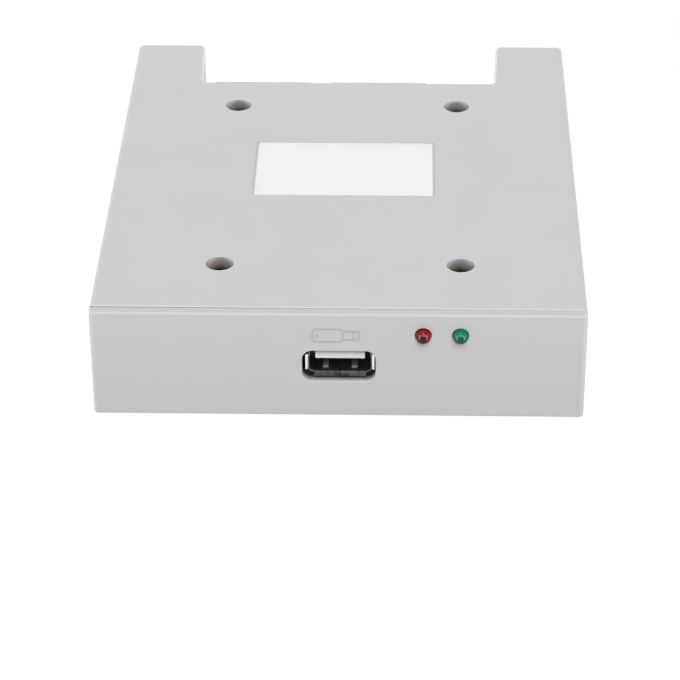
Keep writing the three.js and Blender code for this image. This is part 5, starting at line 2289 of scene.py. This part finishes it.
    def build(self, joints: Sequence[Pair]) -> None:
        """Makes the board and everything on it.

        Args:
            joints: The places of the connectors' pins.
        """
        self.laminate()
        self.solder(joints)
        self.gull_chip("microcontroller", 8, 0.8, 0.35, True)
        for node, leads in (("memory_chip", 4), ("bus_driver_1", 7), ("bus_driver_2", 7)):
            self.gull_chip(node, leads, 1.27, 0.42)
        self.gull_chip("voltage_regulator", 3, 2.3, 0.6)
        for index in (1, 2):
            self.can(f"electrolytic_capacitor_{index}")
        self.crystal()
        self.network()
        for index in range(1, 5):
            self.tiny_part(f"ceramic_capacitor_{index}", CERAMIC)
            self.tiny_part(f"chip_resistor_{index}", RESIN)


def dress_leads() -> None:
    """Gives the lamps' leads their finish."""
    for colour in LAMP_COLOURS:
        for index in (1, 2):
            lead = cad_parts[f"{colour}_lamp_lead_{index}"]
            lead.data.materials.clear()
            lead.data.materials.append(TIN.material())


@dataclass
class Studio:
    """The pale floor and backdrop, the lamps and the world's light."""

    floor_size: float = 12.0
    floor_drop: float = 0.0002
    shadow_share: float = 0.16
    whiteness: float = 1.1
    paper: float = 0.7
    fill: float = 0.165
    lamps: tuple[tuple[str, Triple, Pair, float], ...] = (
        ("key", (0.15, -1.36, 1.49), (1.4, 1.4), 37.0),
        ("side_1", (-1.7, 0.3, 0.3), (1.3, 0.5), 14.0),
        ("side_2", (1.7, 0.3, 0.3), (1.3, 0.5), 9.0),
        ("back", (0.0, 2.0, 0.4), (1.6, 0.6), 12.0),
    )

    def seen(self, shader: Shader) -> Value:
        """Gives one for rays that show the background and zero for those that light the object.

        Args:
            shader: The floor's or the world's nodes.

        Returns:
            The number.
        """
        path = shader.node("ShaderNodeLightPath")
        kinds = ("Camera", "Glossy", "Transmission")
        camera, glossy, through = [Value(shader, path.outputs[f"Is {kind} Ray"]) for kind in kinds]
        total = camera + glossy + through
        return total.math("MINIMUM", total, 1.0)

    def floor(self) -> None:
        """Makes the floor, white to the camera, with a soft shadow under the object."""
        half = self.floor_size / 2
        solid = Solid.sheet(rectangle(-half, half, -half, half), -self.floor_drop, Axis.Z)
        mesh = bpy.data.meshes.new("studio_floor")
        solid.bm.to_mesh(mesh)
        shader = Shader(bpy.data.materials.new("studio_floor"))
        paper = shader.node("ShaderNodeBsdfDiffuse", {"Color": (self.paper, self.paper, self.paper, 1)})
        white = shader.node("ShaderNodeEmission", {"Color": (1, 1, 1, 1), "Strength": self.whiteness})
        share = self.seen(shader) * (1 - self.shadow_share)
        mixed = shader.node("ShaderNodeMixShader", {0: share, 1: paper.outputs[0], 2: white.outputs[0]})
        shader.node("ShaderNodeOutputMaterial", {"Surface": mixed.outputs[0]})
        mesh.materials.append(shader.owner)
        placed("studio_floor", mesh)

    def world(self) -> None:
        """Makes the world: white where it is seen, and an even fill for the object."""
        world = bpy.data.worlds.new("studio_world")
        shader = Shader(world)
        strength = self.seen(shader) * (1 - self.fill) + self.fill
        light = shader.node("ShaderNodeBackground", {"Strength": strength})
        shader.node("ShaderNodeOutputWorld", {"Surface": light.outputs[0]})
        bpy.context.scene.world = world

    def lamp(self, name: str, place: Triple, size: Pair, power: float) -> None:
        """Hangs a soft lamp that faces the object.

        Args:
            name: The lamp's name.
            place: Where it hangs.
            size: Its width and height.
            power: Its power in watts.
        """
        data = bpy.data.lights.new(name, "AREA")
        data.shape = "RECTANGLE"
        data.size, data.size_y = size
        data.energy = power
        lamp = placed(name, data)
        lamp.location = place
        lamp.rotation_euler = (-lamp.location).to_track_quat("-Z", "Y").to_euler()
        lamp.visible_camera = False

    def build(self) -> None:
        """Makes the studio."""
        self.floor()
        self.world()
        for name, place, size, power in self.lamps:
            self.lamp(name, place, size, power)
        bpy.context.scene.view_settings.view_transform = "Standard"


@dataclass
class PhotoCamera:
    """The camera at the photograph's place, turn and focal length."""

    place: Triple = (0.013074, -0.536024, 0.315229)
    below_level: float = math.radians(32.037)
    turn: float = math.radians(1.527)
    roll: float = math.radians(-0.322)
    focal_pixels: float = 2741.4
    frame_pixels: float = 680.0
    sensor: float = 36.0
    clip: Pair = (0.01, 50.0)

    def build(self) -> None:
        """Makes the camera."""
        data = bpy.data.cameras.new("photo_camera")
        data.sensor_width = self.sensor
        data.lens = self.focal_pixels / self.frame_pixels * self.sensor
        data.clip_start, data.clip_end = self.clip
        camera = placed("photo_camera", data)
        level = Euler((math.pi / 2 - self.below_level, 0, self.turn)).to_matrix()
        camera.rotation_euler = (level @ Matrix.Rotation(self.roll, 3, "Z")).to_euler()
        camera.location = self.place
        bpy.context.scene.camera = camera


def main() -> None:
    """Builds the pieces, the studio and the camera."""
    logging.basicConfig(level=logging.INFO, format="%(name)s %(message)s")
    Case().build()
    CaseScrew().build()
    Panel().build()
    Socket().build()
    for tint in Tint:
        Lamp(tint.name.lower(), tint).build()
    connectors = RearConnectors()
    connectors.build()
    Board().build(connectors.joints)
    dress_leads()
    Studio().build()
    PhotoCamera().build()


if __name__ == "__main__":
    main()
